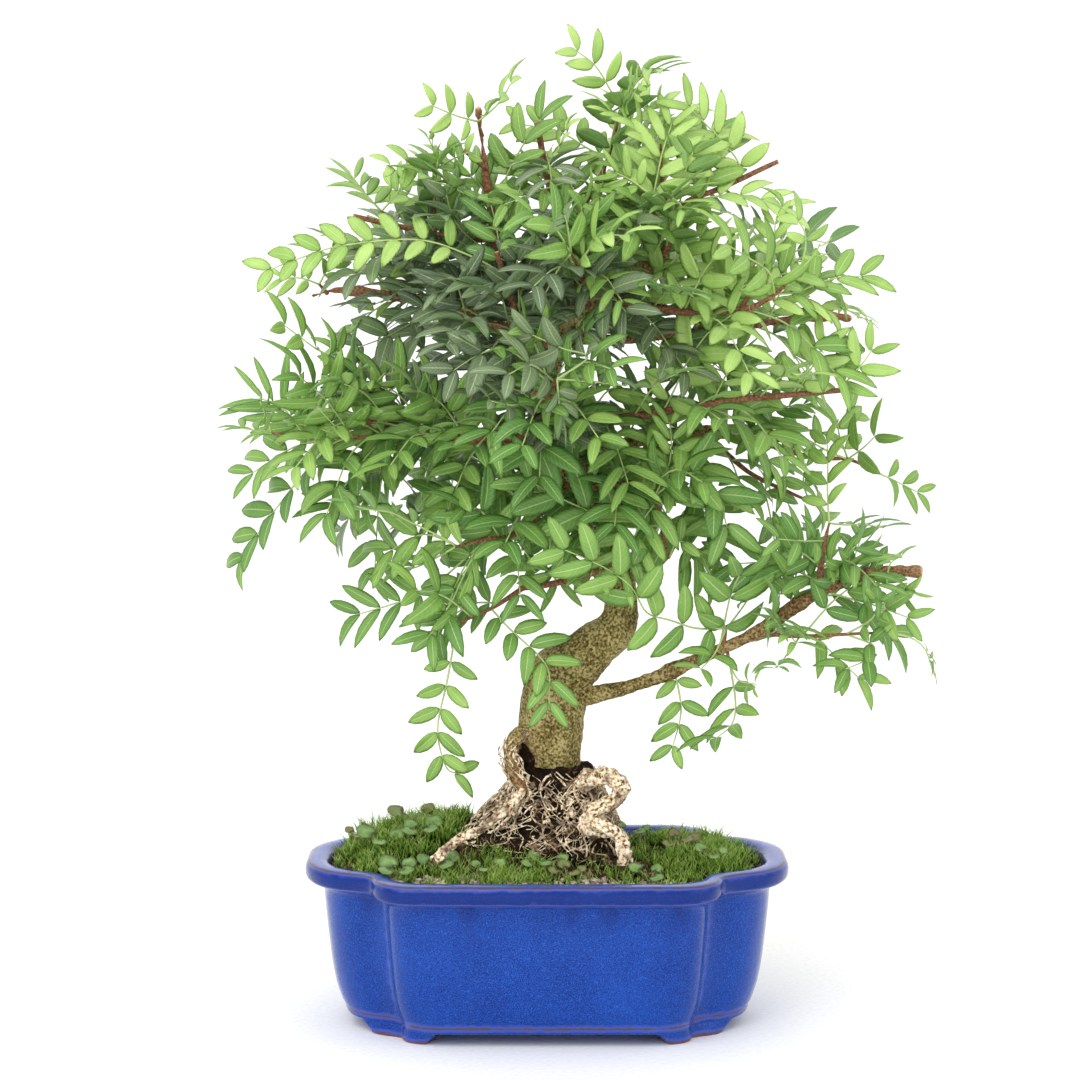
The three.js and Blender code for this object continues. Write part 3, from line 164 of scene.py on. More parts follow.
# Round-leaved weeds: place, stalks, how far they reach, the leaf's radius.
WEEDS = [
    (-82, -16, 3, 6, 4.6), (-64, -14, 4, 6, 5), (-74, -48, 4, 5, 4.6), (-54, -42, 3, 5, 4.2),
    (-68, 20, 3, 5, 4.8), (-96, 2, 3, 5, 3.4), (-30, -50, 3, 5, 3.2), (-2, -44, 4, 6, 3.6),
    (10, -54, 4, 6, 3.6), (50, -52, 3, 5, 3.2), (66, -6, 4, 7, 3.6), (82, -24, 3, 5, 3.2),
    (44, 52, 4, 7, 3.6), (-28, 58, 5, 8, 3.8),
]

# The weeds whose leaves have turned bronze.
BRONZE_WEEDS = {4, 5, 8, 10}

# Tree. Its points are (across, up, depth): across and up as an eye in front of the
# tree sees them against the plane through the pot's middle, depth back from that plane.
EYE = (-3.5, -1600, 400)
VIEW_MIDDLE = (-3.5, 0, 235.5)
VIEW_WIDTH = 540
SENSOR = 36

# Trunk and main limbs: points from the foot outward, then the radius at each end.
TRUNK = [
    (5, 104, 0, 13), (4, 122, 0, 13.5), (2, 140, 0, 16.5), (3, 152, 0, 16.5), (6, 166, 0, 15.5),
    (22, 180, -2, 12.5), (34, 191, -4, 10.5), (37, 205, -4, 8.5), (34, 222, -2, 7.5),
    (26, 243, 2, 7.5), (20, 262, 4, 7.5), (4, 280, 8, 7.2), (-4, 300, 7, 6.6), (6, 335, 2, 6),
    (26, 358, -2, 5), (50, 371, -4, 4), (63, 371.5, -4, 3.5),
]

LIMBS = {
    "low_right": ([(14, 155, -4), (46, 163, -10), (86, 180, -18), (106, 189, -20),
                   (126, 203, -22), (161, 219, -24), (187, 219.5, -22)], 4.2, 2.4),
    "mid_left": ([(-3, 290, 2), (-36, 285.5, -6), (-58, 289, -10), (-96, 297, -16)], 2.8, 1.7),
    "upper_left": ([(-2, 325, 6), (-24, 341, 12), (-50, 353, 18), (-99, 360, 26),
                    (-117, 357, 28)], 5, 1.2),
    "top_left": ([(-3, 318, 6), (-14, 345, 10), (-27, 395, 8), (-34, 450, 4)], 3.2, 1.5),
    "top_left_spur": ([(-30, 420, 5), (-41, 429.5, 0)], 1.6, 1.3),
    "cut_left": ([(-24.5, 385, 9), (-45, 386, 6), (-96, 396.5, -4)], 1.7, 1.3),
    "front_pair": ([(4, 331, -2), (-10, 337, -12), (-14, 342, -18)], 2.4, 2.1),
    "front_high": ([(-14, 342, -18), (-19, 360, -24), (-25, 379, -28)], 1.9, 1.3),
    "front_low": ([(-13, 341, -17), (-28, 343, -24), (-44, 348, -32)], 1.9, 1.6),
    "top_mid": ([(18, 350, 0), (13, 375, 4), (1, 412, 8), (-5, 443, 8)], 2.6, 1.4),
    "top_right": ([(50, 370, -4), (59, 380, -8), (62, 394, -12)], 2.4, 1.9),
    "long_cut_twig": ([(62, 393, -12), (70, 404, -6), (85, 410, 0), (114, 423.5, 8)], 1.8, 1.3),
    "right_upper": ([(26, 358, -2), (50, 352, -14), (75, 349, -24), (101, 351, -32)], 2.6, 1.6),
    "right_mid": ([(7, 337, 2), (40, 336, 14), (76, 340, 26), (137, 347, 40),
                   (151, 346, 42)], 2.8, 1.6),
    "right_cut": ([(-1, 300, 8), (30, 296, 0), (90, 305, -16), (148, 310.5, -26)], 2.6, 1.3),
    "right_low": ([(4, 278, 8), (40, 284, 22), (78, 290, 30), (110, 285, 34)], 4, 2.2),
    "low_left_inner": ([(33, 222, -2), (5, 214, -12), (-14, 211, -18)], 1.9, 1.4),
}

# Bare roots, from the tree outward, then the radius at each end.
ROOTS = {
    "root_left": ([(-12, 109, -22), (-20, 99, -29), (-33, 89, -36), (-42, 85.5, -41),
                   (-50, 79, -45), (-57, 72, -48)], 1.9, 2.8),
    "root_loop": ([(17, 112, -16), (24, 115, -22), (30, 116, -25), (35.5, 114, -27),
                   (38, 108, -29), (31, 101, -31), (22, 96, -34), (20, 91, -37), (29, 88.5, -41),
                   (37, 85, -42), (39, 78, -43), (39, 70, -44)], 4.8, 3.6),
}
# Dark earth caught between the collar root and the trunk: its middle and its half sizes.
COLLAR_CLOD = (-11, 121, -5)
COLLAR_CLOD_REACH = np.array([5, 7, 13])

# Strands that each bare root is twisted from, and the path's points in one turn of them.
ROOT_STRANDS = 4
STRAND_TURN = 46

# The root that leaves the trunk's foot on the left.
COLLAR_ROOT = ([(-4, 143, -4), (-13, 138, -9), (-18, 131, -12), (-18, 123, -14),
                (-15, 115, -18), (-11, 107, -20)], 4.2, 2.6)

# Limbs that start stouter than this are grown together with the trunk.
GROWN_RADIUS = 2.7

# The cells on which the trunk and the bare roots are remeshed.
TRUNK_CELL = 0.85
ROOT_CELL = 0.5

# The wood whose tip was never cut.
UNCUT = ("trunk", "upper_left", "right_low", "collar_root")

# Leafy stems by name: the limb each one grows from, its radius there, its points from
# the limb outward, then its leaves. A leaf is the stem point it starts at, the points of
# its rachis, its pairs of leaflets, their length and width, then how far its tip comes
# forward (-) or back, and its roll.
SPRAYS = {
    "far_left": ("mid_left", 1.5, [(-52, 288, -9), (-75, 288, -16), (-100, 287, -24), (-137, 289, -34)], [
        (3, [(-142, 290), (-156, 292)], 3, 20, 6),
        (3, [(-140, 298), (-143, 305)], 2, 12, 4, 6),
        (2, [(-109, 282), (-122, 268), (-137, 249), (-147, 235), (-152, 226)], 5, 20, 8.5, 0, 25),
        (2, [(-112, 299), (-120, 308)], 2, 18, 7, 8),
        (2, [(-116, 292), (-126, 294)], 2, 20, 8, -8)]),
    "low_right_twig": ("low_right", 1.5, [
        (106, 189, -20), (127, 187, -26), (150, 188, -30), (171, 189, -34)], [
        (1, [(113, 187), (103, 187)], 3, 16, 6, -14),
        (1, [(117, 173), (112, 168)], 2, 18, 7, -6),
        (2, [(164, 182), (160, 175), (149, 170)], 3, 18, 6.5),
        (2, [(163, 196), (166, 206)], 3, 14, 6, -8),
        (3, [(187, 185), (197, 177), (203, 160)], 4, 14, 4.5, 0, 30)]),
    "right_stub": ("low_right", 2.2, [(137, 209, -23), (137, 222, -24), (139, 235, -25), (141, 244, -26)], [
        (3, [(150, 243), (163, 243), (174, 241)], 3, 22, 8),
        (3, [(140, 260), (140, 275), (139.5, 288)], 4, 18, 7, 4),
        (2, [(128, 235), (115, 236)], 3, 17, 6, -8),
        (1, [(125, 230), (112, 228)], 3, 18, 7, 6),
        (1, [(152, 224), (158, 238)], 3, 14, 6, 8)]),
    "low_left_twig": ("low_left_inner", 1.4, [(-12, 211, -17), (-28, 201, -24), (-45, 193.5, -30)], [
        (2, [(-50, 165), (-55, 140), (-51, 121), (-45, 117)], 6, 16, 6.5),
        (1, [(-19, 191), (-4, 177), (1, 168), (1, 152)], 6, 19, 7.5, -10)]),
    "low_left": ("trunk", 2.2, [(14, 266, 4), (-14, 240, -8), (-30, 236, -14), (-46, 232, -18)], [
        (3, [(-50, 236), (-78, 250), (-90, 256), (-104, 258), (-117, 261)], 4, 28, 9),
        (3, [(-58, 225), (-70, 219), (-87, 213)], 4, 30, 9, -10),
        (2, [(-60, 210), (-78, 203), (-95, 198)], 4, 23, 6, 10),
        (2, [(-38, 225), (-49, 202), (-59, 187)], 3, 22, 7, -12),
        (1, [(-12, 230), (-6, 220)], 2, 17, 7, -8)]),
    "front_right": ("trunk", 2.2, [
        (22, 258, 2), (40, 264, -12), (54, 258, -22), (57, 243, -26), (61, 226, -28)], [
        (3, [(40, 242), (25, 248), (12, 254), (0, 260), (-10, 266)], 5, 28, 10, -10),
        (4, [(66, 235), (78, 228)], 2, 15, 6),
        (2, [(60, 271), (62, 282), (61, 295)], 5, 17, 5.5, 6),
        (2, [(70, 269), (78, 264), (86, 255), (90, 242)], 4, 25, 9)]),
    "right_low_bright": ("right_low", 1.6, [(78, 290, 30), (100, 270, 24), (122, 259, 16), (131, 255, 12)], [
        (3, [(128, 264), (129, 274)], 2, 14, 6),
        (3, [(137, 250), (133, 241)], 3, 16, 7, -6)]),
    "right_far": ("right_low", 1.8, [(108, 285, 34), (131, 277, 40), (150, 276, 44), (163, 270, 46)], [
        (2, [(140, 280), (125, 288), (112, 289), (100, 287)], 4, 17, 7, -16),
        (2, [(145, 292), (150, 299)], 3, 20, 7),
        (2, [(158, 282), (164, 288)], 2, 23, 8, -6),
        (3, [(172, 266), (186, 259)], 3, 15, 5)]),
    "upper_right": ("right_upper", 1.6, [(101, 351, -32), (113, 358, -34), (126, 371, -40)], [
        (1, [(124, 359), (131, 362), (143, 366), (157, 367)], 4, 21, 7),
        (1, [(110, 369), (100, 376), (90, 382)], 4, 24, 8, -8),
        (2, [(128, 383), (126, 392), (115, 402)], 3, 16, 5.5),
        (2, [(133, 378), (139, 387)], 2, 15, 5.5, 6)]),
    "upper_right_b": ("right_upper", 1.4, [(96, 350.5, -30), (102, 361, -28), (108, 373, -24)], [
        (2, [(112, 382), (113, 394)], 3, 15, 5.5, 8)]),
    "top_right_a": ("top_right", 1.4, [(61, 391, -11), (57, 412, -8), (56, 432, -4)], [
        (2, [(62, 438), (71, 444)], 3, 15, 6),
        (2, [(50, 436), (43, 441)], 3, 16, 7, -6),
        (2, [(57, 444), (55, 455)], 3, 15, 6, 10)]),
    "top_right_b": ("top_right", 1.4, [(60.5, 386, -10), (54, 396, -18), (50, 408, -24)], [
        (1, [(46, 390), (31, 391)], 3, 23, 8, -4),
        (2, [(42, 414), (34, 418)], 3, 16, 7, -6),
        (1, [(72, 398), (86, 402)], 3, 17, 7, -16)]),
    "top_tip": ("top_mid", 1.7, [(10, 388, 5.5), (22, 408, 14), (30, 425, 18), (36.5, 449, 18)], [
        (3, [(32, 457), (24, 470), (14, 478)], 4, 17, 6),
        (3, [(40, 452), (47, 464)], 4, 16, 5, 6),
        (2, [(20, 430), (6, 438), (-14, 442)], 5, 15, 6.5, 10),
        (1, [(18, 414), (2, 411), (-22, 402)], 4, 16, 6, -12)]),
    "left_hidden": ("mid_left", 1.6, [(-66, 291, -11), (-70, 280, -2), (-78, 272, 8), (-87, 266, 16)], [
        (3, [(-97, 250), (-104, 238)], 3, 20, 8),
        (2, [(-68, 262), (-60, 250)], 3, 18, 7, 8)]),
    "front_centre": ("trunk", 2.4, [(-3, 300, 4), (0, 305, -25), (3, 312, -55), (5, 316, -80)], [
        (3, [(22, 328), (8, 333), (-10, 341)], 3, 24, 9),
        (3, [(6, 303), (8, 293)], 3, 22, 8, -6),
        (3, [(30, 314), (45, 312)], 3, 20, 8),
        (2, [(-18, 330), (-32, 329), (-47, 320)], 3, 20, 9, -10),
        (2, [(-15, 303), (-30, 305)], 3, 15, 7, -10)]),
    "left_top": ("cut_left", 1.2, [(-75, 392, -1), (-82, 399, -6)], [
        (1, [(-92, 410), (-98.5, 419)], 4, 23, 7, -6, 35),
        (1, [(-74, 408), (-70, 416)], 3, 15, 6, 6)]),
    "left_crown": ("cut_left", 1.5, [(-56, 388.5, 3), (-56, 405, 6), (-56, 419, 8)], [
        (2, [(-64, 422), (-79, 421.5)], 3, 14, 7),
        (1, [(-66, 407), (-78, 411)], 3, 15, 7, 10),
        (2, [(-48, 424), (-37, 429)], 3, 14, 6),
        (2, [(-56, 432), (-60, 442)], 3, 14, 6, 6)]),
    "left_long": ("front_high", 0, [(-22, 368, -26)], [
        (0, [(-38, 377), (-64, 385), (-102, 382), (-125, 375), (-138, 370)], 8, 16, 7, -4)]),
    "left_fan": ("mid_left", 1.4, [(-89, 296, -15), (-93, 306, -12)], [
        (1, [(-108, 327), (-118, 334), (-134, 346)], 4, 22, 8, -10),
        (1, [(-100, 318), (-105, 331)], 3, 16, 5.5, 6),
        (1, [(-86, 313), (-79, 321)], 3, 16, 5.5, -6)]),
    "front_shoot": ("low_right", 1.7, [(88, 181, -18), (90, 191, -24)], [
        (1, [(75, 191), (62, 195), (50, 199), (42, 212), (28, 222), (8, 231)], 7, 23, 9, -22),
        (1, [(97, 200), (104, 210), (110, 221), (117, 236)], 5, 17, 6, -6),
        (1, [(84, 178), (77, 170)], 2, 20, 8, -14)]),
    "hang_right_a": ("low_right", 0, [(64, 170, -13.5)], [
        (0, [(67, 155), (67, 145), (63, 130)], 4, 15, 6, -6)]),
    "hang_right_b": ("low_right", 1.3, [(90, 181.5, -18), (92, 172, -22)], [
        (1, [(95, 152), (93, 140), (84, 132)], 4, 25, 7, -6),
        (1, [(98, 162), (110, 159)], 2, 20, 8, 10)]),
    "right_end": ("low_right", 1.2, [(165, 219, -24), (170, 212, -28)], [
        (1, [(178, 208), (186, 210)], 3, 14, 6, -6),
        (1, [(172, 226), (180, 232)], 3, 15, 6, 10)]),
    "right_drop": ("low_right", 0, [(140, 209.5, -24)], [
        (0, [(152, 206), (166, 202), (182, 196)], 3, 15, 6, -14)]),
    "cut_twig_tip": ("right_cut", 0, [(144, 310, -25)], [
        (0, [(154, 320), (162, 331)], 3, 18, 6, -8)]),
    "cut_twig_mid": ("right_cut", 0, [(124, 308, -22)], [
        (0, [(129, 317), (134, 326), (138, 335)], 3, 18, 7, -4)]),
    "right_star": ("right_cut", 0, [(58, 299.5, -7.5)], [
        (0, [(64, 312), (70, 325), (81, 340), (92, 348)], 5, 24, 8, -18)]),
    "right_dark": ("right_mid", 0, [(62, 338.5, 22)], [
        (0, [(68, 332), (80, 323), (92, 318), (104, 311)], 4, 23, 9, 6)]),
    "bracket_right": ("right_mid", 1.3, [(137, 347, 40), (144, 352, 38)], [
        (1, [(150, 350), (158, 345)], 3, 19, 8, -6),
        (1, [(143, 362), (138, 370)], 3, 16, 7, 6)]),
    "long_twig": ("long_cut_twig", 0, [(97, 414.6, 4)], [
        (0, [(94, 424), (86, 434), (77, 443), (69, 451)], 5, 21, 8, -6)]),
    "top_mid_leaves": ("top_mid", 1.3, [(0.5, 413, 8), (-1, 420, -2)], [
        (1, [(-12, 424), (-28, 427)], 3, 14, 6, -10),
        (1, [(6, 430), (12, 442)], 3, 15, 7, -4)]),
    "top_left_leaves": ("top_left", 1.3, [(-32.5, 436, 4.3), (-34, 443, -5)], [
        (1, [(-45, 446), (-57, 451)], 3, 15, 6, -4),
        (1, [(-24, 452), (-17, 463)], 3, 15, 6, -2)]),
    "centre_a": ("front_pair", 0, [(-13, 340.5, -17)], [
        (0, [(-14, 356), (-15, 376)], 3, 19, 8, -16)]),
    "centre_left": ("top_left", 0, [(-23, 376, 9.7)], [
        (0, [(-36, 384), (-46, 395), (-50, 408)], 3, 18, 8, -20)]),
    "centre_b": ("top_mid", 1.4, [(15.4, 363, 2), (18, 372, -8)], [
        (1, [(26, 374), (36, 370)], 3, 19, 7, -8),
        (1, [(8, 378), (-2, 386)], 3, 17, 7, -8)]),
    "left_inner": ("mid_left", 1.3, [(-36, 285.5, -6), (-42, 292, 4)], [
        (1, [(-56, 302), (-67, 314)], 3, 18, 7, 6),
        (1, [(-38, 306), (-34, 318)], 3, 17, 7, 10)]),
    "left_dark": ("upper_left", 0, [(-60, 354.7, 20)], [
        (0, [(-66, 345), (-80, 337), (-93, 332)], 3, 20, 8, -8)]),
    "left_upper": ("upper_left", 1.3, [(-76, 357, 22.3), (-80, 364, 28)], [
        (1, [(-88, 368), (-100, 367)], 3, 15, 7, 6),
        (1, [(-70, 372), (-66, 382)], 3, 16, 7, 10)]),
    "left_tip": ("upper_left", 1.2, [(-109, 358.4, 27), (-113, 363, 22)], [
        (1, [(-122, 366), (-133, 366)], 3, 14, 5, -6),
        (1, [(-108, 372), (-102, 380)], 3, 15, 6, 6)]),
}

# Leafy stems behind and beside the trunk, with leaves set around them by rule.
BACK_RADIUS = 2.3
BACK_SPRAYS = {
    "back_left": ("trunk", [(-3, 300, 7), (-20, 315, 50), (-35, 322, 95)]),
    "back_upper": ("trunk", [(6, 335, 2), (20, 350, 45), (35, 362, 90)]),
    "back_right": ("trunk", [(18, 264, 4.5), (32, 256, 50), (50, 250, 95)]),
    "back_low": ("trunk", [(0, 285, 7.6), (-25, 268, 50), (-50, 255, 85)]),
    "back_top": ("trunk", [(26, 358, -2), (28, 385, 35), (32, 410, 62)]),
    "back_limb_left": ("upper_left", [(-50, 353, 18), (-62, 372, 45), (-70, 388, 74)]),
    "back_limb_right": ("right_mid", [(76, 340, 26), (95, 362, 58), (108, 382, 86)]),
    "front_top": ("trunk", [(20, 351, -1), (18, 366, -34), (12, 378, -62)]),
}

# The stems whose leaves are last year's, dull and dark.
OLD_SPRAYS = {
    "front_top", "front_centre", "centre_a", "centre_left", "centre_b", "left_inner", "left_dark",
    "left_hidden", "right_dark", "left_upper", "back_left", "back_upper", "back_right", "back_low",
    "back_top", "back_limb_left", "back_limb_right",
}

# How the solids' leaves are laid, so that the fine ones lie in the same places.
SPAN_STEPS = 6
TWIG_TIP = 0.9
BLADE = 0.7
RACHIS_HALF = 0.6
LEAFLET_FOOT = 3
PAIRS_KEPT = 0.66
LEAFLET_STRETCH = 1.14
LEAFLET_SPREAD = 1.5
FOLD = 16
BASE_ANGLE = 64
TIP_ANGLE = 36
WIDEST = 0.42
ARCH = 0.045
FRONT_FACE = (0, -0.86, 0.5)
BACK_FACE = (0, 0.6, 0.8)
SWAYS = (0, -6, 6, -12, 12, -18, 18, -26, 26)
BENDS = (
    (0, 0, 1), (-8, 0, 1), (8, 0, 1), (0, 25, 1), (0, -25, 1), (-16, 0, 1), (16, 0, 1),
    (-8, 30, 1), (8, -30, 1), (-24, 0, 1), (24, 0, 1), (-16, -35, 1), (16, 35, 1),
    (-32, 0, 0.95), (32, 0, 0.95), (-24, 40, 0.9), (24, -40, 0.9), (-40, 0, 0.9), (40, 0, 0.9),
    (0, 60, 0.85), (0, -60, 0.85), (-12, 60, 0.8), (12, -60, 0.8), (-48, 30, 0.8), (48, -30, 0.8),
    (-30, 70, 0.75), (30, -70, 0.75), (-56, 0, 0.7), (56, 0, 0.7), (0, 90, 0.65), (-20, 90, 0.6),
    (20, 90, 0.6), (-60, 60, 0.6), (60, -60, 0.6),
)

# The fine leaflet: how wide it is along its length, as shares of the widest place.
LEAFLET_STATIONS = (0, 0.08, 0.22, 0.42, 0.64, 0.85, 1)
LEAFLET_WIDTHS = (0.12, 0.5, 0.88, 1, 0.93, 0.61, 0.09)
LEAFLET_ACROSS = 4
FINE_STRETCH = 1.06
FINE_SPREAD = 1.12
SIDE_VEINS = 9

# A leaf's stalk at its foot and at its tip.
RACHIS_THICK = 0.55
RACHIS_THIN = 0.3

# One leaflet in ten is curled and folded.
CURLED_ABOVE = 0.9

# Where the extra leaves grow, each a middle and half sizes: the crown, the left side, the
# top, and round the two low limbs.
CROWN = np.array([14, 6, 325])
CROWN_REACH = np.array([140, 105, 122])
FOLIAGE_PARTS = [
    (np.array([-96, -8, 282]), np.array([60, 56, 66])),
    (np.array([50, 2, 428]), np.array([62, 50, 46])),
    (np.array([-62, -14, 214]), np.array([60, 42, 46])),
    (np.array([128, -18, 206]), np.array([62, 42, 46])),
]

# The young outer crown, where ripeness is low, is airy: this share of its leaves is left out.
AIRY_BELOW = -0.02
LEFT_OUT = 0.28

# No extra leaf grows from this many first points of the trunk's path.
BARE_TRUNK = 62

# Extra leaves: the least reach, droop and length of a leaflet, and what is added at most.
FREE_REACH = (32, 24)
FREE_DROOP = (2, 10)
FREE_LENGTH = (20, 8)

# Leaves are ripe below one height, and young above another and to the right: each the place
# where that starts, how far on it is complete, and how much it darkens or lightens them.
RIPE_LOW = (305, 60, 0.32)
YOUNG_TOP = (365, 50, 0.07)
YOUNG_RIGHT = (50, 60, 0.06)

# Last year's leaves, dull and grey-green, crowd round this place (across, up); leaves are also painted
# darker round it, less so in front, as painted shade in the crown's heart.
DARK_HEART = np.array([-18, 345])
DARK_REACH = np.array([96, 76])

# The paper sweep: its half width, where it ends in front, where it starts to bend behind the
# pot, the radius of its bend and its height.
SWEEP_SIDE = 4500
SWEEP_FRONT = -4000
SWEEP_BEND = 900
SWEEP_RADIUS = 1200
SWEEP_TOP = 4000
SWEEP_STEPS = 12

# Soft square lights: where each hangs and how wide it is. All point at the tree's middle.
LAMPS = {
    "Key": ((-900, -1900, 1700), 1900),
    "Fill": ((1900, -1300, 900), 1600),
    "Top": ((0, 100, 2300), 2200),
}
LAMP_TARGET = (0, 0, 240)

UP = np.array([0, 0, 1])
WHITE = (1, 1, 1, 1)
BLACK = (0, 0, 0, 1)


def linear(colour):
    """A hex colour as a screen shows it, turned to the linear values that shaders take."""
    shares = [int(colour[i : i + 2], 16) / 255 for i in (1, 3, 5)]
    return [*(s / 12.92 if s <= 0.04045 else ((s + 0.055) / 1.055) ** 2.4 for s in shares), 1]


def scatter(i, j):
    """A fixed scatter between 0 and 1 for a pair of whole numbers."""
    wave = math.sin(i * 12.9898 + j * 78.233) * 43758.5453
    return wave - math.floor(wave)


def at(points):
    """The places of points seen at (across, up) that lie at a depth."""
    points = np.asarray(points, float)
    reach = (points[:, 2] - EYE[1]) / -EYE[1]
    return np.column_stack([
        EYE[0] + (points[:, 0] - EYE[0]) * reach,
        points[:, 2],
        EYE[2] + (points[:, 1] - EYE[2]) * reach,
    ])


def smooth(points, steps=SPAN_STEPS):
    """A smooth path through points, with even steps between each two."""
    points = np.asarray(points, float)
    padded = np.vstack([2 * points[0] - points[1], points, 2 * points[-1] - points[-2]])
    path = []
    for a, b, c, d in zip(padded, padded[1:], padded[2:], padded[3:]):
        for k in range(steps):
            t = k / steps
            path.append(0.5 * (
                a * (-t + 2 * t * t - t**3) + b * (2 - 5 * t * t + 3 * t**3)
                + c * (t + 4 * t * t - 3 * t**3) + d * (-t * t + t**3)))
    path.append(points[-1])
    return np.array(path)


def unit(vector):
    """A vector's way, one long."""
    return vector / np.linalg.norm(vector)


def perpendicular(vector, way):
    """The part of a vector that stands square to a way, one long."""
    return unit(vector - way * np.dot(vector, way))


def turned(vector, axis, degrees):
    """A vector turned about an axis that it stands square to."""
    turn = math.radians(degrees)
    return vector * math.cos(turn) + np.cross(axis, vector) * math.sin(turn)


def level_way(turn):
    """The level way at an angle from the right, one long."""
    return np.array([math.cos(turn), math.sin(turn), 0])


def lengths_along(path):
    """How far along a path each of its points lies."""
    return np.concatenate([[0], np.cumsum(np.linalg.norm(np.diff(path, axis=0), axis=1))])


def point_on(path, lengths, s):
    """The point of a path that lies at a length along it."""
    return np.array([np.interp(s, lengths, path[:, k]) for k in range(3)])


def search_tree(points):
    """A tree in which the nearest of many points is found."""
    tree = kdtree.KDTree(len(points))
    for i, point in enumerate(points):
        tree.insert(point, i)
    tree.balance()
    return tree


# Meshes and materials


def deselect():
    """Selects nothing."""
    bpy.ops.object.select_all(action="DESELECT")


def only(piece):
    """Selects one piece alone and makes it active."""
    deselect()
    piece.select_set(True)
    bpy.context.view_layer.objects.active = piece


def place(points):
    """Points in millimetres about the pot's middle, as metres in the frame."""
    return (np.asarray(points, float) + POT_CENTRE) * MM


def mesh_piece(name, points, faces):
    """A piece from points in millimetres, and faces that all have the same number of corners."""
    faces = np.asarray(faces, np.int32)
    mesh = bpy.data.meshes.new(name)
    mesh.vertices.add(len(points))
    mesh.vertices.foreach_set("co", place(points).astype(np.float32).ravel())
    mesh.loops.add(faces.size)
    mesh.loops.foreach_set("vertex_index", faces.ravel())
    mesh.polygons.add(len(faces))
    mesh.polygons.foreach_set("loop_start", np.arange(0, faces.size, faces.shape[1], dtype=np.int32))
    mesh.update(calc_edges=True)
    piece = bpy.data.objects.new(name, mesh)
    bpy.context.scene.collection.objects.link(piece)
    return piece


def set_values(piece, name, values):
    """Stores one number for each point of a piece, or the same one for all."""
    attribute = piece.data.attributes.new(name, "FLOAT", "POINT")
    values = np.broadcast_to(values, len(piece.data.vertices)).astype(np.float32)
    attribute.data.foreach_set("value", values)


def coordinates(piece):
    """The points of a piece in millimetres about the pot's middle."""
    flat = np.empty(3 * len(piece.data.vertices), np.float32)
    piece.data.vertices.foreach_get("co", flat)
    return flat.reshape(-1, 3) / MM - POT_CENTRE


def move_points(piece, points):
    """Puts a piece's points at places in millimetres about the pot's middle."""
    piece.data.vertices.foreach_set("co", place(points).astype(np.float32).ravel())
    piece.data.update()


def apply_modifier(piece, kind, **settings):
    """Adds a modifier, sets it and applies it."""
    only(piece)
    modifier = piece.modifiers.new(kind.title(), kind)
    for name, value in settings.items():
        setattr(modifier, name, value)
    bpy.ops.object.modifier_apply(modifier=modifier.name)


def join(name, pieces):
    """Makes pieces one, and names it."""
    only(pieces[0])
    for piece in pieces:
        piece.select_set(True)
    bpy.ops.object.join()
    pieces[0].name = name
    return pieces[0]


def strands(name, paths, resolution):
    """Tubes along paths, each path's points in millimetres with a radius at each point."""
    curve = bpy.data.curves.new(name, "CURVE")
    curve.dimensions = "3D"
    curve.bevel_depth = MM
    curve.bevel_resolution = resolution
    curve.use_fill_caps = True
    for points, radii in paths:
        spline = curve.splines.new("POLY")
        spline.points.add(len(points) - 1)
        placed = np.column_stack([place(points), np.ones(len(points))])
        spline.points.foreach_set("co", placed.ravel())
        spline.points.foreach_set("radius", np.broadcast_to(radii, len(points)).astype(float))
        spline.use_smooth = True
    piece = bpy.data.objects.new(name, curve)
    bpy.context.scene.collection.objects.link(piece)
    only(piece)
    bpy.ops.object.convert(target="MESH")
    piece = bpy.context.object
    piece.name = name
    return piece


def finish_piece(piece, material, slot, *nodes, angle=None):
    """Gives a piece its material and smooth shading, and says what it rides on and stands for."""
    piece.data.materials.clear()
    piece.data.materials.append(material)
    only(piece)
    if angle is None:
        bpy.ops.object.shade_smooth()
    else:
        bpy.ops.object.shade_smooth_by_angle(angle=math.radians(angle))
    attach(piece, "root")
    if nodes:
        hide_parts(*nodes)


def add_node(tree, kind, settings=None, links=None):
    """Adds a node with its settings and its links, each from a node or from a node's output."""
    node = tree.nodes.new(kind)
    for name, value in (settings or {}).items():
        if name == "stops":
            elements = node.color_ramp.elements
            for i, (position, colour) in enumerate(value):
                element = elements[i] if i < 2 else elements.new(position)
                element.position = position
                element.color = colour
        elif isinstance(name, int) or name in node.inputs:
            node.inputs[name].default_value = value
        else:
            setattr(node, name, value)
    for name, source in (links or {}).items():
        source, output = source if isinstance(source, tuple) else (source, 0)
        tree.links.new(source.outputs[output], node.inputs[name])
    return node


def new_material(name):
    """An empty material, its tree, its shader and the output that says where a point lies."""
    material = bpy.data.materials.new(name)
    material.use_nodes = True
    tree = material.node_tree
    where = (add_node(tree, "ShaderNodeTexCoord"), "Object")
    return material, tree, tree.nodes["Principled BSDF"], where


def finish_shader(tree, shader, values, links):
    """Sets the values that are the same all over a surface, and links what varies."""
    for name, value in values.items():
        shader.inputs[name].default_value = value
    for name, (source, output) in links.items():
        tree.links.new(source.outputs[output], shader.inputs[name])


def per_metre(millimetres):
    """The scale of a pattern whose cells are that many millimetres across."""
    return 1 / (millimetres * MM)


def grey(share):
    """A grey that a colour ramp gives as a share."""
    return (share, share, share, 1)


# The kinds of node that most finishes use; a stored value comes from one of a piece's attributes
NOISE, RAMP, MIX = "ShaderNodeTexNoise", "ShaderNodeValToRGB", "ShaderNodeMix"
MATH, STORED, BUMP = "ShaderNodeMath", "ShaderNodeAttribute", "ShaderNodeBump"

# Sockets of a colour mix: its share, the colour below, the colour laid over it and the result
SHARE, BELOW, OVER, MIXED = 0, 6, 7, 2


# Finishes


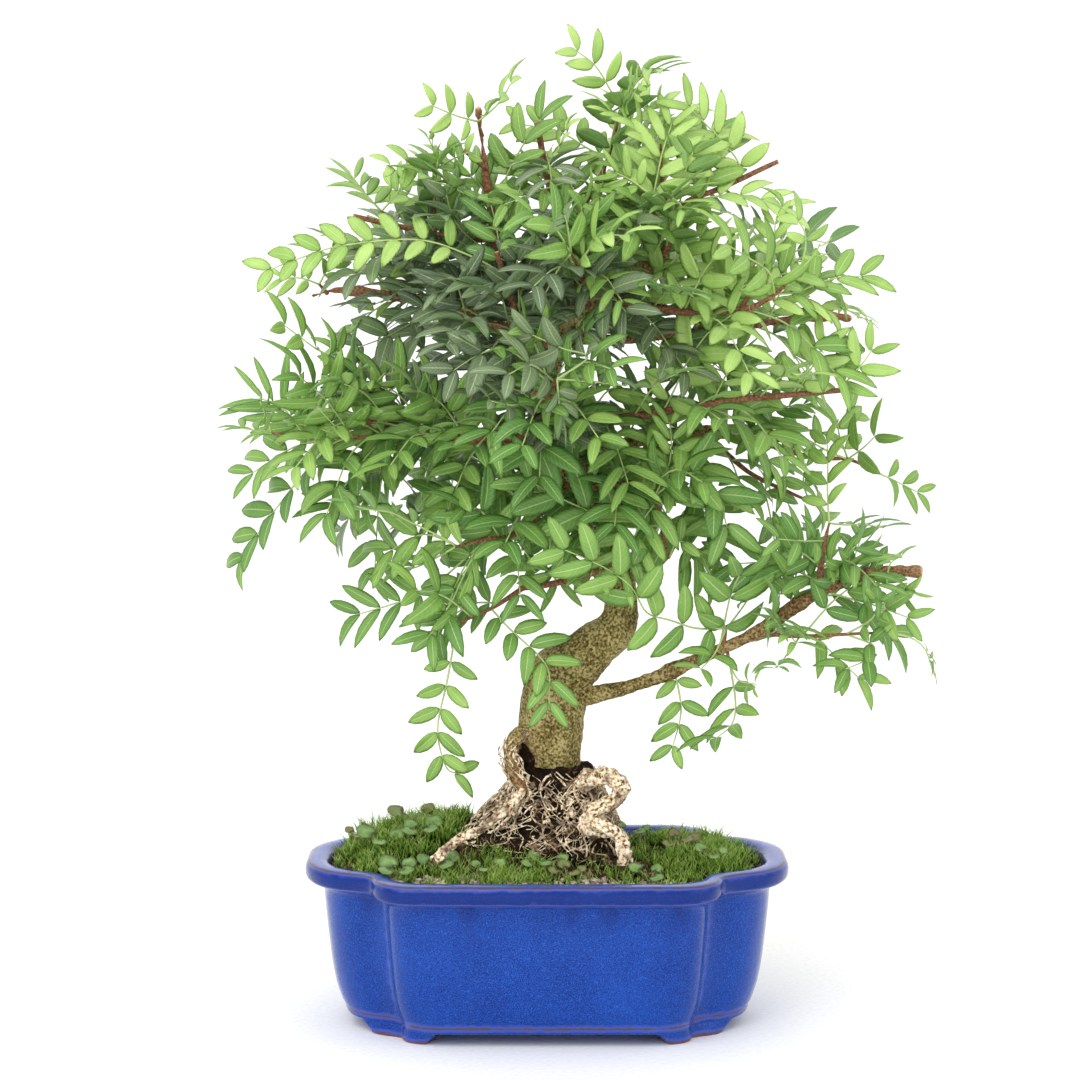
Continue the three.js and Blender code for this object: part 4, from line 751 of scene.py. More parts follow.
def glaze_material(pot):
    """Glossy stoneware glaze: deep cobalt with fine flecks, brown where an edge breaks it."""
    material, tree, shader, where = new_material("Blue stoneware glaze")
    # Clouds of thicker and thinner glaze, about 30 mm across.
    cloud = add_node(tree, NOISE, {"Scale": per_metre(30), "Detail": 3}, {"Vector": where})
    drift = add_node(tree, RAMP, {"stops": [(0.25, pot.glaze_blue), (0.8, pot.glaze_pale)]}, {"Fac": cloud})
    # The real flecks are 0.3 mm, too fine to show, so they are drawn half as large again.
    fleck = add_node(tree, NOISE, {"Scale": per_metre(pot.speckle_size), "Detail": 2}, {"Vector": where})
    dark_flecks = add_node(tree, RAMP, {"stops": [(0.36, grey(0.6)), (0.5, BLACK)]}, {"Fac": fleck})
    pale_flecks = add_node(tree, RAMP, {"stops": [(0.52, BLACK), (0.66, grey(0.5))]}, {"Fac": fleck})
    # Thicker glaze hangs in drips under the lip and lies on the lip's face.
    pooled = add_node(tree, STORED, {"attribute_name": "pooled"})
    # The glaze thins to lavender on rounded edges, and to brown on the sharpest; the lavender on the lip's
    # top and beside the notches is painted reflection.
    thin = add_node(tree, STORED, {"attribute_name": "thin"})
    wear = add_node(tree, NOISE, {"Scale": per_metre(6), "Detail": 4}, {"Vector": where})
    uneven = add_node(tree, MATH, {"operation": "MULTIPLY_ADD", 1: 0.7, 2: -0.35}, {0: wear})
    edge = add_node(tree, MATH, {"operation": "ADD", "use_clamp": True}, {0: (thin, "Fac"), 1: uneven})
    thinned_and_sheen = add_node(tree, RAMP, {"stops": [(0.12, BLACK), (0.5, grey(0.7))]}, {"Fac": edge})
    broken = add_node(tree, RAMP, {"stops": [(0.7, BLACK), (0.88, grey(0.9))]}, {"Fac": edge})
    glazed = drift
    for share, colour in ((dark_flecks, pot.glaze_speck), (pale_flecks, pot.glaze_fleck),
                          ((pooled, "Fac"), pot.glaze_pool), (thinned_and_sheen, pot.glaze_thin_and_sheen),
                          (broken, pot.glaze_break)):
        layer = add_node(tree, MIX, {"data_type": "RGBA", OVER: colour}, {SHARE: share, BELOW: glazed})
        glazed = (layer, MIXED)
    # Lime and earth stain the inner wall.
    inner = add_node(tree, STORED, {"attribute_name": "stained"})
    lime = add_node(tree, RAMP, {
        "stops": [(0.35, linear("#3E4662")), (0.65, linear("#8C8F9A"))]}, {"Fac": wear})
    stained = add_node(tree, MIX, {"data_type": "RGBA"}, {SHARE: (inner, "Fac"), BELOW: glazed, OVER: lime})
    # The soles are bare gritty clay, rougher than the glaze.
    bare = add_node(tree, STORED, {"attribute_name": "bare"})
    grit = add_node(tree, NOISE, {"Scale": per_metre(1.4), "Detail": 3}, {"Vector": where})
    clay = add_node(tree, RAMP, {"stops": [(0.35, pot.clay_dark), (0.65, pot.clay)]}, {"Fac": grit})
    whole = add_node(tree, MIX, {"data_type": "RGBA"},
                     {SHARE: (bare, "Fac"), BELOW: (stained, MIXED), OVER: clay})
    rough = add_node(tree, MATH, {"operation": "MULTIPLY_ADD", 1: 0.5, 2: 0.14}, {0: (bare, "Fac")})
    relief = add_node(tree, BUMP, {"Distance": 0.4 * MM, "Strength": 0.3}, {"Height": cloud})
    finish_shader(tree, shader, {"IOR": 1.42, "Specular IOR Level": 0.32},
                  {"Base Color": (whole, MIXED), "Roughness": (rough, 0), "Normal": (relief, 0)})
    return material


def screen_material():
    """Moulded plastic mesh: dark green, dull, faintly clouded."""
    material, tree, shader, where = new_material("Moulded green plastic")
    cloud = add_node(tree, NOISE, {"Scale": per_metre(3), "Detail": 3}, {"Vector": where})
    colour = add_node(tree, RAMP, {
        "stops": [(0.3, linear("#26302C")), (0.7, linear("#38443E"))]}, {"Fac": cloud})
    relief = add_node(tree, BUMP, {"Distance": 0.1 * MM, "Strength": 0.3}, {"Height": cloud})
    finish_shader(tree, shader, {"Roughness": 0.55}, {"Base Color": (colour, 0), "Normal": (relief, 0)})
    return material


def earth_material(name, dark, pale, grit):
    """Moist crumbly earth: near black between its grains, with paler crumbs of mineral."""
    material, tree, shader, where = new_material(name)
    crumbs = add_node(tree, NOISE, {"Scale": per_metre(grit), "Detail": 4}, {"Vector": where})
    clods = add_node(tree, NOISE, {"Scale": per_metre(7), "Detail": 3}, {"Vector": where})
    mixed = add_node(tree, MATH, {"operation": "MULTIPLY_ADD", 1: 0.55}, {0: crumbs, 2: clods})
    colour = add_node(tree, RAMP, {
        "stops": [(0.6, dark), (0.86, pale), (0.97, linear("#8C7860"))]}, {"Fac": mixed})
    stone = add_node(tree, RAMP, {
        "stops": [(0.3, linear("#8B7C69")), (0.62, linear("#D9CDB9"))]}, {"Fac": crumbs})
    tone = add_node(tree, STORED, {"attribute_name": "tone"})
    whole = add_node(tree, MIX, {"data_type": "RGBA"}, {SHARE: (tone, "Fac"), BELOW: colour, OVER: stone})
    relief = add_node(tree, BUMP, {"Distance": 0.9 * MM}, {"Height": crumbs})
    finish_shader(tree, shader, {"Roughness": 0.92, "Specular IOR Level": 0.12},
                  {"Base Color": (whole, MIXED), "Normal": (relief, 0)})
    return material


def root_material(ground):
    """Pale corky root skin, wrinkled across, with earth left in its creases."""
    material, tree, shader, where = new_material("Pale root skin")
    skin = add_node(tree, NOISE, {"Scale": per_metre(1.6), "Detail": 5}, {"Vector": where})
    patches = add_node(tree, NOISE, {"Scale": per_metre(9), "Detail": 3}, {"Vector": where})
    colour = add_node(tree, RAMP, {
        "stops": [(0.36, ground.root_crease), (0.46, ground.root_skin), (0.59, ground.root_light)]},
        {"Fac": skin})
    dirt = add_node(tree, RAMP, {"stops": [(0.5, BLACK), (0.66, grey(0.85))]}, {"Fac": patches})
    soiled = add_node(tree, MIX, {"data_type": "RGBA", OVER: linear("#5F4632")},
                      {SHARE: dirt, BELOW: colour})
    relief = add_node(tree, BUMP, {"Distance": 0.6 * MM}, {"Height": skin})
    finish_shader(tree, shader, {"Roughness": 0.86, "Specular IOR Level": 0.2},
                  {"Base Color": (soiled, MIXED), "Normal": (relief, 0)})
    return material


def bark_material(wood):
    """Golden tan bark, finely granular, red-brown on the twigs, pale wood where it was cut."""
    material, tree, shader, where = new_material("Granular tan bark")
    grains = add_node(tree, NOISE, {"Scale": per_metre(1.3), "Detail": 5}, {"Vector": where})
    warts = add_node(tree, "ShaderNodeTexVoronoi", {"Scale": per_metre(2.2)}, {"Vector": where})
    patches = add_node(tree, NOISE, {"Scale": per_metre(16), "Detail": 4}, {"Vector": where})
    mixed = add_node(tree, MATH, {"operation": "MULTIPLY_ADD", 1: 0.5}, {0: patches, 2: grains})
    old = add_node(tree, RAMP, {
        "stops": [(0.6, wood.bark_dark), (0.73, wood.bark), (0.86, wood.bark_pale)]}, {"Fac": mixed})
    young = add_node(tree, RAMP, {"stops": [(0.34, wood.twig_dark), (0.64, wood.twig)]}, {"Fac": grains})
    thin = add_node(tree, STORED, {"attribute_name": "thin"})
    both = add_node(tree, MIX, {"data_type": "RGBA"}, {SHARE: (thin, "Fac"), BELOW: old, OVER: young})
    cut = add_node(tree, STORED, {"attribute_name": "cut"})
    whole = add_node(tree, MIX, {"data_type": "RGBA", OVER: wood.cut_wood},
                     {SHARE: (cut, "Fac"), BELOW: (both, MIXED)})
    height = add_node(tree, MATH, {"operation": "MULTIPLY_ADD", 1: -0.5},
                      {0: (warts, "Distance"), 2: mixed})
    relief = add_node(tree, BUMP, {"Distance": 1.1 * MM}, {"Height": height})
    finish_shader(tree, shader, {"Roughness": 0.82, "Specular IOR Level": 0.25},
                  {"Base Color": (whole, MIXED), "Normal": (relief, 0)})
    return material


def leaf_material(name, young, mature, midrib, gloss):
    """Leathery leaflet: satin above with a light midrib and faint side veins, paler below."""
    material, tree, shader, where = new_material(name)
    blade = add_node(tree, "ShaderNodeSeparateXYZ", links={"Vector": (where[0], "UV")})
    # Across the blade: 0 on the midrib, 1 on the edge.
    side = add_node(tree, MATH, {"operation": "MULTIPLY_ADD", 1: 2, 2: -1}, {0: (blade, "Y")})
    off = add_node(tree, MATH, {"operation": "ABSOLUTE"}, {0: side})
    rib = add_node(tree, RAMP, {"stops": [(0.02, grey(0.75)), (0.09, BLACK)]}, {"Fac": off})
    # Side veins run out and forward.
    slant = add_node(tree, MATH, {"operation": "MULTIPLY_ADD", 1: -0.22}, {0: off, 2: (blade, "X")})
    wave = add_node(tree, MATH, {"operation": "MULTIPLY", 1: SIDE_VEINS * 2 * math.pi}, {0: slant})
    vein = add_node(tree, MATH, {"operation": "SINE"}, {0: wave})
    veins = add_node(tree, RAMP, {"stops": [(0.75, BLACK), (1, grey(0.16))]}, {"Fac": vein})
    shade = add_node(tree, STORED, {"attribute_name": "shade"})
    cloud = add_node(tree, NOISE, {"Scale": per_metre(12), "Detail": 3}, {"Vector": where})
    drift = add_node(tree, MATH, {"operation": "MULTIPLY_ADD", 1: 0.5, 2: -0.25}, {0: cloud})
    tone = add_node(tree, MATH, {"operation": "ADD", "use_clamp": True}, {0: (shade, "Fac"), 1: drift})
    green = add_node(tree, RAMP, {
        "stops": [(0, young), (0.36, mature[0]), (0.85, mature[1])]}, {"Fac": tone})
    veined = add_node(tree, MIX, {"data_type": "RGBA", OVER: midrib}, {SHARE: veins, BELOW: green})
    ribbed = add_node(tree, MIX, {"data_type": "RGBA", OVER: midrib}, {SHARE: rib, BELOW: (veined, MIXED)})
    under = add_node(tree, STORED, {"attribute_name": "under"})
    dulled = add_node(tree, MATH, {"operation": "MULTIPLY", 1: 0.4}, {0: (under, "Fac")})
    whole = add_node(tree, MIX, {"data_type": "RGBA", OVER: linear("#7F9F6C")},
                     {SHARE: dulled, BELOW: (ribbed, MIXED)})
    relief = add_node(tree, BUMP, {"Distance": 0.08 * MM, "Strength": 0.5}, {"Height": vein})
    finish_shader(tree, shader, {
        "Roughness": gloss, "IOR": 1.42, "Subsurface Weight": 0.12, "Subsurface Scale": 1,
        "Subsurface Radius": (0.5 * MM, 0.9 * MM, 0.2 * MM)},
        {"Base Color": (whole, MIXED), "Normal": (relief, 0)})
    return material


def moss_material(ground):
    """Living moss blades: soft, bright at the tips, and dark at their feet, which is painted shade in the
    depth of the cushion.
    """
    material, tree, shader, where = new_material("Living moss")
    tufts = add_node(tree, NOISE, {"Scale": per_metre(8), "Detail": 3}, {"Vector": where})
    tone = add_node(tree, STORED, {"attribute_name": "tone"})
    uneven = add_node(tree, MATH, {"operation": "MULTIPLY_ADD", 1: 0.9, 2: -0.45}, {0: tufts})
    mixed = add_node(tree, MATH, {"operation": "ADD", "use_clamp": True}, {0: uneven, 1: (tone, "Fac")})
    colour = add_node(tree, RAMP, {
        "stops": [(0.1, ground.moss_depth_shade), (0.48, ground.moss), (0.9, ground.moss_tip)]}, {"Fac": mixed})
    finish_shader(tree, shader, {
        "Roughness": 0.62, "Specular IOR Level": 0.25, "Subsurface Weight": 0.1, "Subsurface Scale": 1,
        "Subsurface Radius": (0.4 * MM, 0.9 * MM, 0.2 * MM)}, {"Base Color": (colour, 0)})
    return material


def weed_material(ground):
    """Soft thin round leaves: matt grey-green, some of them bronze, on bronze stalks."""
    material, tree, shader, where = new_material("Soft round weed leaf")
    cloud = add_node(tree, NOISE, {"Scale": per_metre(4), "Detail": 3}, {"Vector": where})
    green = add_node(tree, RAMP, {"stops": [(0.3, ground.weed_dark), (0.7, ground.weed)]}, {"Fac": cloud})
    tone = add_node(tree, STORED, {"attribute_name": "tone"})
    whole = add_node(tree, MIX, {"data_type": "RGBA", OVER: ground.weed_bronze},
                     {SHARE: (tone, "Fac"), BELOW: green})
    relief = add_node(tree, BUMP, {"Distance": 0.3 * MM, "Strength": 0.5}, {"Height": cloud})
    finish_shader(tree, shader, {"Roughness": 0.6}, {"Base Color": (whole, MIXED), "Normal": (relief, 0)})
    return material


def floor_material(stage):
    """Matt white paper sweep with a very faint tooth."""
    material, tree, shader, where = new_material("Matt white paper")
    tooth = add_node(tree, NOISE, {"Scale": per_metre(2.5), "Detail": 3}, {"Vector": where})
    colour = add_node(tree, RAMP, {"stops": [(0.3, stage.floor_colour), (0.7, WHITE)]}, {"Fac": tooth})
    finish_shader(tree, shader, {"Roughness": 0.95}, {"Base Color": (colour, 0)})
    return material


# Pot and ground


def pot_outline(steps):
    """Two long lobes and two short ones that meet in four notches, counter-clockwise."""
    quarter = [(POT_HALF_LENGTH, 0), (POT_HALF_LENGTH, SHORT_FLAT)]
    for start, pull, end in LOBE_CURVES:
        for k in range(1, steps + 1):
            t = k / steps
            quarter.append(tuple(
                (1 - t) ** 2 * a + 2 * t * (1 - t) * b + t * t * c
                for a, b, c in zip(start, pull, end)))
    x, y = LOBE_CURVES[-1][-1]
    for k in range(1, FLAT_STEPS + 1):
        quarter.append((x - x / FLAT_STEPS * k, y + LONG_BOW * k / FLAT_STEPS))
    corner = quarter[:-1]
    back = quarter[:0:-1]
    return np.array(
        corner + [(-x, y) for x, y in back] + [(-x, -y) for x, y in corner]
        + [(x, -y) for x, y in back], float)


def inset_shares(inset):
    """How much of its size a ring keeps, along and across the pot, when it is drawn in."""
    return (POT_HALF_LENGTH - inset) / POT_HALF_LENGTH, (POT_HALF_DEPTH - inset) / POT_HALF_DEPTH


def wall_inset(height):
    """The inset of the pot's inner wall at a height."""
    return np.interp(height, [POT_FLOOR, WALL_KNEE, POT_HEIGHT], [FLOOR_INSET, KNEE_INSET, LIP_INSET])


def soil_top(x, y):
    """The height of the earth, which rises towards the tree."""
    across = (x - SOIL_CREST[0]) / SOIL_SPREAD[0]
    along = (y - SOIL_CREST[1]) / SOIL_SPREAD[1]
    return SOIL_EDGE + SOIL_RISE * np.exp(-(across * across + along * along))


def level_ring(outline, height):
    """An outline laid level at a height."""
    return np.column_stack([outline, np.full(len(outline), height)])


def loft(name, rings):
    """A closed skin over rings of equal count, counter-clockwise from above, bottom first."""
    count = len(rings[0])
    corners = []
    for r in range(len(rings) - 1):
        for i in range(count):
            a, b = r * count + i, r * count + (i + 1) % count
            corners.append((a, b, b + count, a + count))
    piece = mesh_piece(name, np.vstack(rings), corners)
    only(piece)
    bpy.ops.object.mode_set(mode="EDIT")
    bpy.ops.mesh.select_all(action="SELECT")
    bpy.ops.mesh.region_to_loop()
    bpy.ops.mesh.edge_face_add()
    bpy.ops.mesh.select_all(action="SELECT")
    bpy.ops.mesh.quads_convert_to_tris(ngon_method="BEAUTY")
    bpy.ops.mesh.normals_make_consistent(inside=False)
    bpy.ops.object.mode_set(mode="OBJECT")
    return piece


def pot_body(steps):
    """The bowl, extruded ring by ring from the outline of its base."""
    outline = pot_outline(steps)
    inset, height = POT_RINGS[0]
    shares = inset_shares(inset)
    bpy.ops.mesh.primitive_circle_add(vertices=len(outline), radius=0.1, fill_type="NGON",
                                      location=(0, 0, 0))
    bowl = bpy.context.object
    bowl.name = "glazed_pot"
    move_points(bowl, level_ring(outline * shares, height))
    only(bowl)
    bpy.ops.object.mode_set(mode="EDIT")
    bpy.ops.mesh.select_all(action="SELECT")
    bpy.ops.mesh.flip_normals()
    bpy.ops.mesh.region_to_loop()
    middle = POT_CENTRE * MM
    for (last_inset, last_height), (inset, height) in zip(POT_RINGS, POT_RINGS[1:]):
        before, after = inset_shares(last_inset), inset_shares(inset)
        bpy.ops.mesh.extrude_edges_move(
            TRANSFORM_OT_translate={"value": (0, 0, (height - last_height) * MM)})
        bpy.ops.transform.resize(
            value=(after[0] / before[0], after[1] / before[1], 1), center_override=tuple(middle))
    bpy.ops.mesh.edge_face_add()
    bpy.ops.mesh.select_all(action="SELECT")
    bpy.ops.mesh.normals_make_consistent(inside=False)
    bpy.ops.object.mode_set(mode="OBJECT")
    return bowl


def pot_foot(steps, right, back):
    """A foot under a notch: a bracket that leans in from the pot's base down to its sole."""
    first = 1 + steps // 2
    outline = pot_outline(steps)[first : 2 + 3 * steps]
    notch = 3 * steps // 2
    rings = []
    for outer, inner, spread, height in FOOT_RINGS:
        front = outline * inset_shares(outer)
        rim = np.vstack([front, outline[::-1] * inset_shares(inner)])
        rim = front[notch] + (rim - front[notch]) * spread
        ring = level_ring(rim * [right, back], height)
        rings.append(ring if right * back > 0 else ring[::-1])
    return loft("pot_foot", rings)


def ground_points(count, seed, keep):
    """Places on the earth inside the wall that a test keeps, in a fixed scatter."""
    found = []
    i = 0
    while len(found) < count and i < 60 * count:
        i += 1
        x = (2 * scatter(i, seed) - 1) * POT_HALF_LENGTH
        y = (2 * scatter(i, seed + 1) - 1) * POT_HALF_DEPTH
        if in_bowl(x, y) and keep(x, y):
            found.append((x, y))
    return found


def in_bowl(x, y):
    """Whether a place is on the earth and clear of the pot's wall."""
    here, after = BOWL_EDGE, np.roll(BOWL_EDGE, -1, axis=0)
    crosses = (here[:, 1] > y) != (after[:, 1] > y)
    with np.errstate(divide="ignore", invalid="ignore"):
        meets = here[:, 0] + (y - here[:, 1]) / (after[:, 1] - here[:, 1]) * (after[:, 0] - here[:, 0])
    return bool((crosses & (x < meets)).sum() % 2)


BOWL_EDGE = pot_outline(CURVE_STEPS) * inset_shares(float(wall_inset(SOIL_EDGE)) + SOWN_GAP)


def over_mound(x, y, reach=1.0):
    """Whether a place is within the mound's foot, or within a share of it."""
    wide = MOUND_RIGHT if x > MOUND_X else MOUND_LEFT
    return ((x - MOUND_X) / wide) ** 2 + (y / MOUND_DEPTH) ** 2 < reach**2


def mound_point(turn, level, out=0.0):
    """A place on the root mound: round it by an angle, up it from 0 at its foot to 1."""
    wide = MOUND_RIGHT if math.cos(turn) > 0 else MOUND_LEFT
    x = wide * math.cos(turn)
    y = MOUND_DEPTH * math.sin(turn)
    foot = math.hypot(x, y)
    shoulder = soil_top(MOUND_X + x, y) + 1
    height = shoulder + (MOUND_TOP - shoulder) * level
    flank = 1.15 - 0.5 * math.cos(turn)
    ridge = 1 + 0.045 * math.sin(4 * turn + 5 * level) * math.sin(math.pi * level)
    reach = (MOUND_TOP_RADIUS + (foot - MOUND_TOP_RADIUS) * (1 - level) ** flank) * ridge + out
    return np.array([MOUND_X + x / foot * reach, y / foot * reach, height])


def rooted_path(seed, steps, start_level, drop, drift, out):
    """A fine root that wanders down the mound from a level, its height off the earth waving."""
    turn = 2 * math.pi * scatter(seed, 1)
    level = start_level
    path = []
    for k in range(steps):
        lift = out * (0.6 + 0.6 * math.sin(2.3 * k + seed))
        path.append(mound_point(turn, max(level, -0.02), lift))
        turn += drift * (scatter(seed, 10 + k) - 0.5)
        level -= drop * (0.2 + 1.2 * scatter(seed, 40 + k))
        if level < 0:
            level = 0.02 * scatter(seed, 70 + k)
    return smooth(path, 3)


def crumbled(piece, size, height, seed):
    """Moves a piece's points along their normals by a fixed noise."""
    points = coordinates(piece)
    normals = np.array([v.normal for v in piece.data.vertices])
    waves = np.array([
        noise.noise(Vector(p / size) + Vector((seed, 0, 0))) for p in points])
    move_points(piece, points + normals * (waves * height)[:, None])


def moss_top(moss, x, y):
    """The height of a moss cushion over a place, or None beyond its edge."""
    across, along = (x - moss["x"]) / moss["across"], (y - moss["y"]) / moss["along"]
    turn = math.atan2(along, across)
    phase = moss["phase"]
    edge = 1 + 0.07 * math.sin(3 * turn + phase) + 0.05 * math.sin(7 * turn + 2 * phase)
    spread = math.hypot(across, along) / edge
    if spread > 1:
        return None
    tuft = 0.5 * math.sin(x / 5 + phase) * math.cos(y / 6)
    return soil_top(x, y) + 1.2 + moss["height"] * math.sqrt(1 - spread**2) + tuft


def moss_places(name, moss, count, seed):
    """Where a cushion's blades stand and how tall: dense on the cushion, in tufts round it."""
    side = -1 if name == "moss_left" else 1
    places = []
    for i, (x, y) in enumerate(ground_points(count, seed, lambda x, y: not over_mound(x, y, 0.92))):
        border = 5 + 14 * noise.noise(Vector((y / 12, 3, 0)))
        if side * (x - border) < 0:
            continue
        tuft = noise.noise(Vector((x / 7, y / 7, seed)))
        patch = noise.noise(Vector((x / 16, y / 16, seed + 5)))
        top = moss_top(moss, x, y)
        if top is None:
            thickness = 0.5 if y < -40 else 0.3
            if scatter(i, 77) > thickness + 1.2 * patch:
                continue
            top = float(soil_top(x, y)) + 1
        elif scatter(i, 78) > 0.9 + 0.8 * patch:
            continue
        if side > 0 and x < DARK_EARTH_END + 20 * patch:
            if scatter(i, 79) > 0.25:
                continue
            top = float(soil_top(x, y)) + 1
        places.append((x, y, top - 1.5, 1 + 0.55 * tuft + (0.25 if side < 0 and y > 20 else 0)))
    return places


def blades(name, places, length, half_width, seed):
    """Slender three-sided blades that stand on places and lean over, brighter at their tips and painted dark
    at their feet for the shade in the cushion.
    """
    points, tones, faces = [], [], []
    for i, (x, y, z, vigour) in enumerate(places):
        lean = 2 * math.pi * scatter(i, seed)
        tall = length * vigour * (0.45 + 0.8 * scatter(i, seed + 1) ** 1.5)
        out = tall * (0.1 + 0.75 * scatter(i, seed + 2))
        way = level_way(lean)
        foot = np.array([x, y, z - 1])
        middle = foot + way * out * 0.35 + UP * (tall * 0.62)
        tip = foot + way * out + UP * (tall * 0.95)
        first = len(points)
        for ring, width in ((foot, half_width), (middle, half_width * 0.8)):
            for k in range(3):
                points.append(ring + width * level_way(lean + 2 * math.pi * k / 3))
        points.append(tip)
        light = 0.3 * (scatter(i, seed + 3) - 0.5)
        # Tones run from dark at the foot, painted shade in the depth of the cushion, to bright at the tip.
        tones += [0.05] * 3 + [0.45 + light] * 3 + [0.75 + light]
        for k in range(3):
            a, b = first + k, first + (k + 1) % 3
            faces += [(a, b, b + 3), (a, b + 3, a + 3), (a + 3, b + 3, first + 6)]
        faces.append((first, first + 2, first + 1))
    piece = mesh_piece(name, points, faces)
    set_values(piece, "tone", tones)
    return piece


def stones(name, places, seed):
    """Grit: angular stones in a fixed scatter of sizes and turns."""
    bpy.ops.mesh.primitive_ico_sphere_add(subdivisions=1, radius=1, location=(0, 0, 0))
    model = bpy.context.object
    form = np.array([v.co for v in model.data.vertices])
    corners = np.array([p.vertices for p in model.data.polygons])
    bpy.data.objects.remove(model)
    points, faces, tones = [], [], []
    for i, (x, y, size, tone) in enumerate(places):
        turn = 2 * math.pi * scatter(i, seed)
        jag = 1 + 0.5 * np.array([scatter(i * 12 + k, seed + 2) - 0.5 for k in range(len(form))])
        shape = form * jag[:, None] * (size * np.array([1.25, 0.9, 0.7]))
        spin = np.array([[math.cos(turn), -math.sin(turn), 0], [math.sin(turn), math.cos(turn), 0],
                         [0, 0, 1]])
        points.append(shape @ spin.T + np.array([x, y, soil_top(x, y) + 0.35 * size]))
        faces.append(corners + i * len(form))
        tones += [tone] * len(form)
    piece = mesh_piece(name, np.vstack(points), np.vstack(faces))
    set_values(piece, "tone", tones)
    return piece


def round_leaf_plant(x, y, stalks, reach, radius, bronze, seed):
    """One weed: curved stalks from its crown, as paths, and the places of its round leaves."""
    ground = float(soil_top(x, y))
    for moss in MOSSES.values():
        ground = max(ground, moss_top(moss, x, y) or 0)
    paths, leaves = [], []
    for i in range(stalks):
        turn = ((i + 0.6 * scatter(i, seed)) / stalks) * 2 * math.pi
        out = reach * (0.7 + 0.5 * scatter(i, seed + 1))
        rise = reach * (0.25 + 0.4 * scatter(i, seed + 2))
        way = level_way(turn)
        crown = np.array([x, y, ground - 1])
        tip = np.array([x, y, ground + 3 + rise]) + way * out
        path = smooth([crown, crown + way * out * 0.35 + UP * (2 + rise * 0.8), tip], 4)
        paths.append((path, np.linspace(0.5, 0.35, len(path))))
        leaves.append((tip, way, radius * (0.7 + 0.45 * scatter(i, seed + 5)),
                       bronze * (0.6 + 0.4 * scatter(i, seed + 6))))
    return paths, leaves


def round_leaves(name, leaves):
    """Round leaves, each a shallow dish of two skins with a notch where its stalk joins."""
    sides = 14
    points, faces, tones = [], [], []
    for tip, way, radius, bronze in leaves:
        side = np.cross(UP, way)
        up = unit(np.array([0, -0.55, 1]) - 0.3 * way)
        side = perpendicular(side, up)
        out = np.cross(side, up)
        first = len(points)
        for skin in (0.18, -0.18):
            points.append(tip + up * skin)
            tones.append(bronze)
            for share in (0.55, 1):
                for k in range(sides):
                    turn = 2 * math.pi * k / sides
                    notch = 1 - 0.32 * max(0.0, -math.cos(turn)) ** 12
                    reach = radius * share * notch * (1 + 0.05 * math.sin(5 * turn))
                    dish = 0.1 * radius * share**2 + 0.06 * radius * math.cos(3 * turn) * share
                    points.append(tip + out * (reach * math.cos(turn) + radius * 0.7)
                                  + side * reach * math.sin(turn) + up * (dish + skin * (share < 1)))
                    tones.append(min(1, bronze + 0.25 * (share == 1)))
        ring = 2 * sides + 1
        for skin in (0, 1):
            base = first + skin * ring
            for k in range(sides):
                a, b = base + 1 + k, base + 1 + (k + 1) % sides
                inner = [(base, a, b), (a, a + sides, b + sides), (a, b + sides, b)]
                faces += inner if skin == 0 else [face[::-1] for face in inner]
    piece = mesh_piece(name, points, faces)
    set_values(piece, "tone", tones)
    apply_modifier(piece, "WELD", merge_threshold=0.02 * MM)
    return piece


# Tree


def wood_path(points, radii, cut=False):
    """A limb's smooth path and its radii; a cut end gets a close last ring."""
    path = smooth(np.column_stack([at(points), radii]))
    if cut:
        back = path[-1] - 0.12 * (path[-1] - path[-2])
        path = np.vstack([path[:-1], back, path[-1]])
    return path[:, :3], np.maximum(path[:, 3], 0.3)


def collar_path():
    """The collar root's smooth path and radii."""
    points, start, end = COLLAR_ROOT
    return wood_path(points, np.linspace(start, end, len(points)))


def limb_paths():
    """Every limb's smooth path and radii by name."""
    paths = {"trunk": wood_path([p[:3] for p in TRUNK], [p[3] for p in TRUNK])}
    for name, (points, start, end) in LIMBS.items():
        paths[name] = wood_path(points, np.linspace(start, end, len(points)), cut=True)
    return paths


def root_point(limb, start):
    """The point of a limb nearest to where a stem is said to start."""
    points = np.array([p[:3] for p in TRUNK] if limb == "trunk" else LIMBS[limb][0], float)
    best = None
    for a, b in zip(points, points[1:]):
        way = (b - a)[:2]
        along = np.clip(np.dot(np.array(start[:2]) - a[:2], way) / np.dot(way, way), 0, 1)
        point = a + (b - a) * along
        far = np.linalg.norm(point[:2] - np.array(start[:2]))
        if best is None or far < best[0]:
            best = (far, point)
    return tuple(best[1])


def ruled_leaves(stem, seed):
    """A back stem's leaves: in turn to each side of it, drooping outward, by rule."""
    leaves = []
    for i in range(3):
        index = 1 if i < 1 else len(stem) - 1
        x, y, depth = stem[index]
        turn = 2.4 * i + seed * 1.7
        reach = 26 + 8 * scatter(i, seed)
        mid = (x + 0.5 * reach * math.cos(turn), y + 0.5 * reach * math.sin(turn) + 3)
        end = (x + reach * math.cos(turn), y + reach * math.sin(turn))
        away = (-1 if depth < 0 else 1) * (8 + 10 * scatter(i, seed + 4))
        leaves.append((index, [mid, end], 3, 23, 9, away, 0))
    return leaves


def rachis_path(start, leaf, bend):
    """The path of a leaf's rachis when it is bent in one of the ways."""
    points = leaf[1]
    lean = leaf[5] if len(leaf) > 5 else 0
    back, _, size = bend
    shrink = 1 - (1 - size) * 0.7
    spine = [start]
    for i, (across, up) in enumerate(points):
        spine.append((start[0] + (across - start[0]) * shrink, start[1] + (up - start[1]) * shrink,
                      start[2] + (lean + back) * (i + 1) / len(points)))
    return smooth(at(spine))


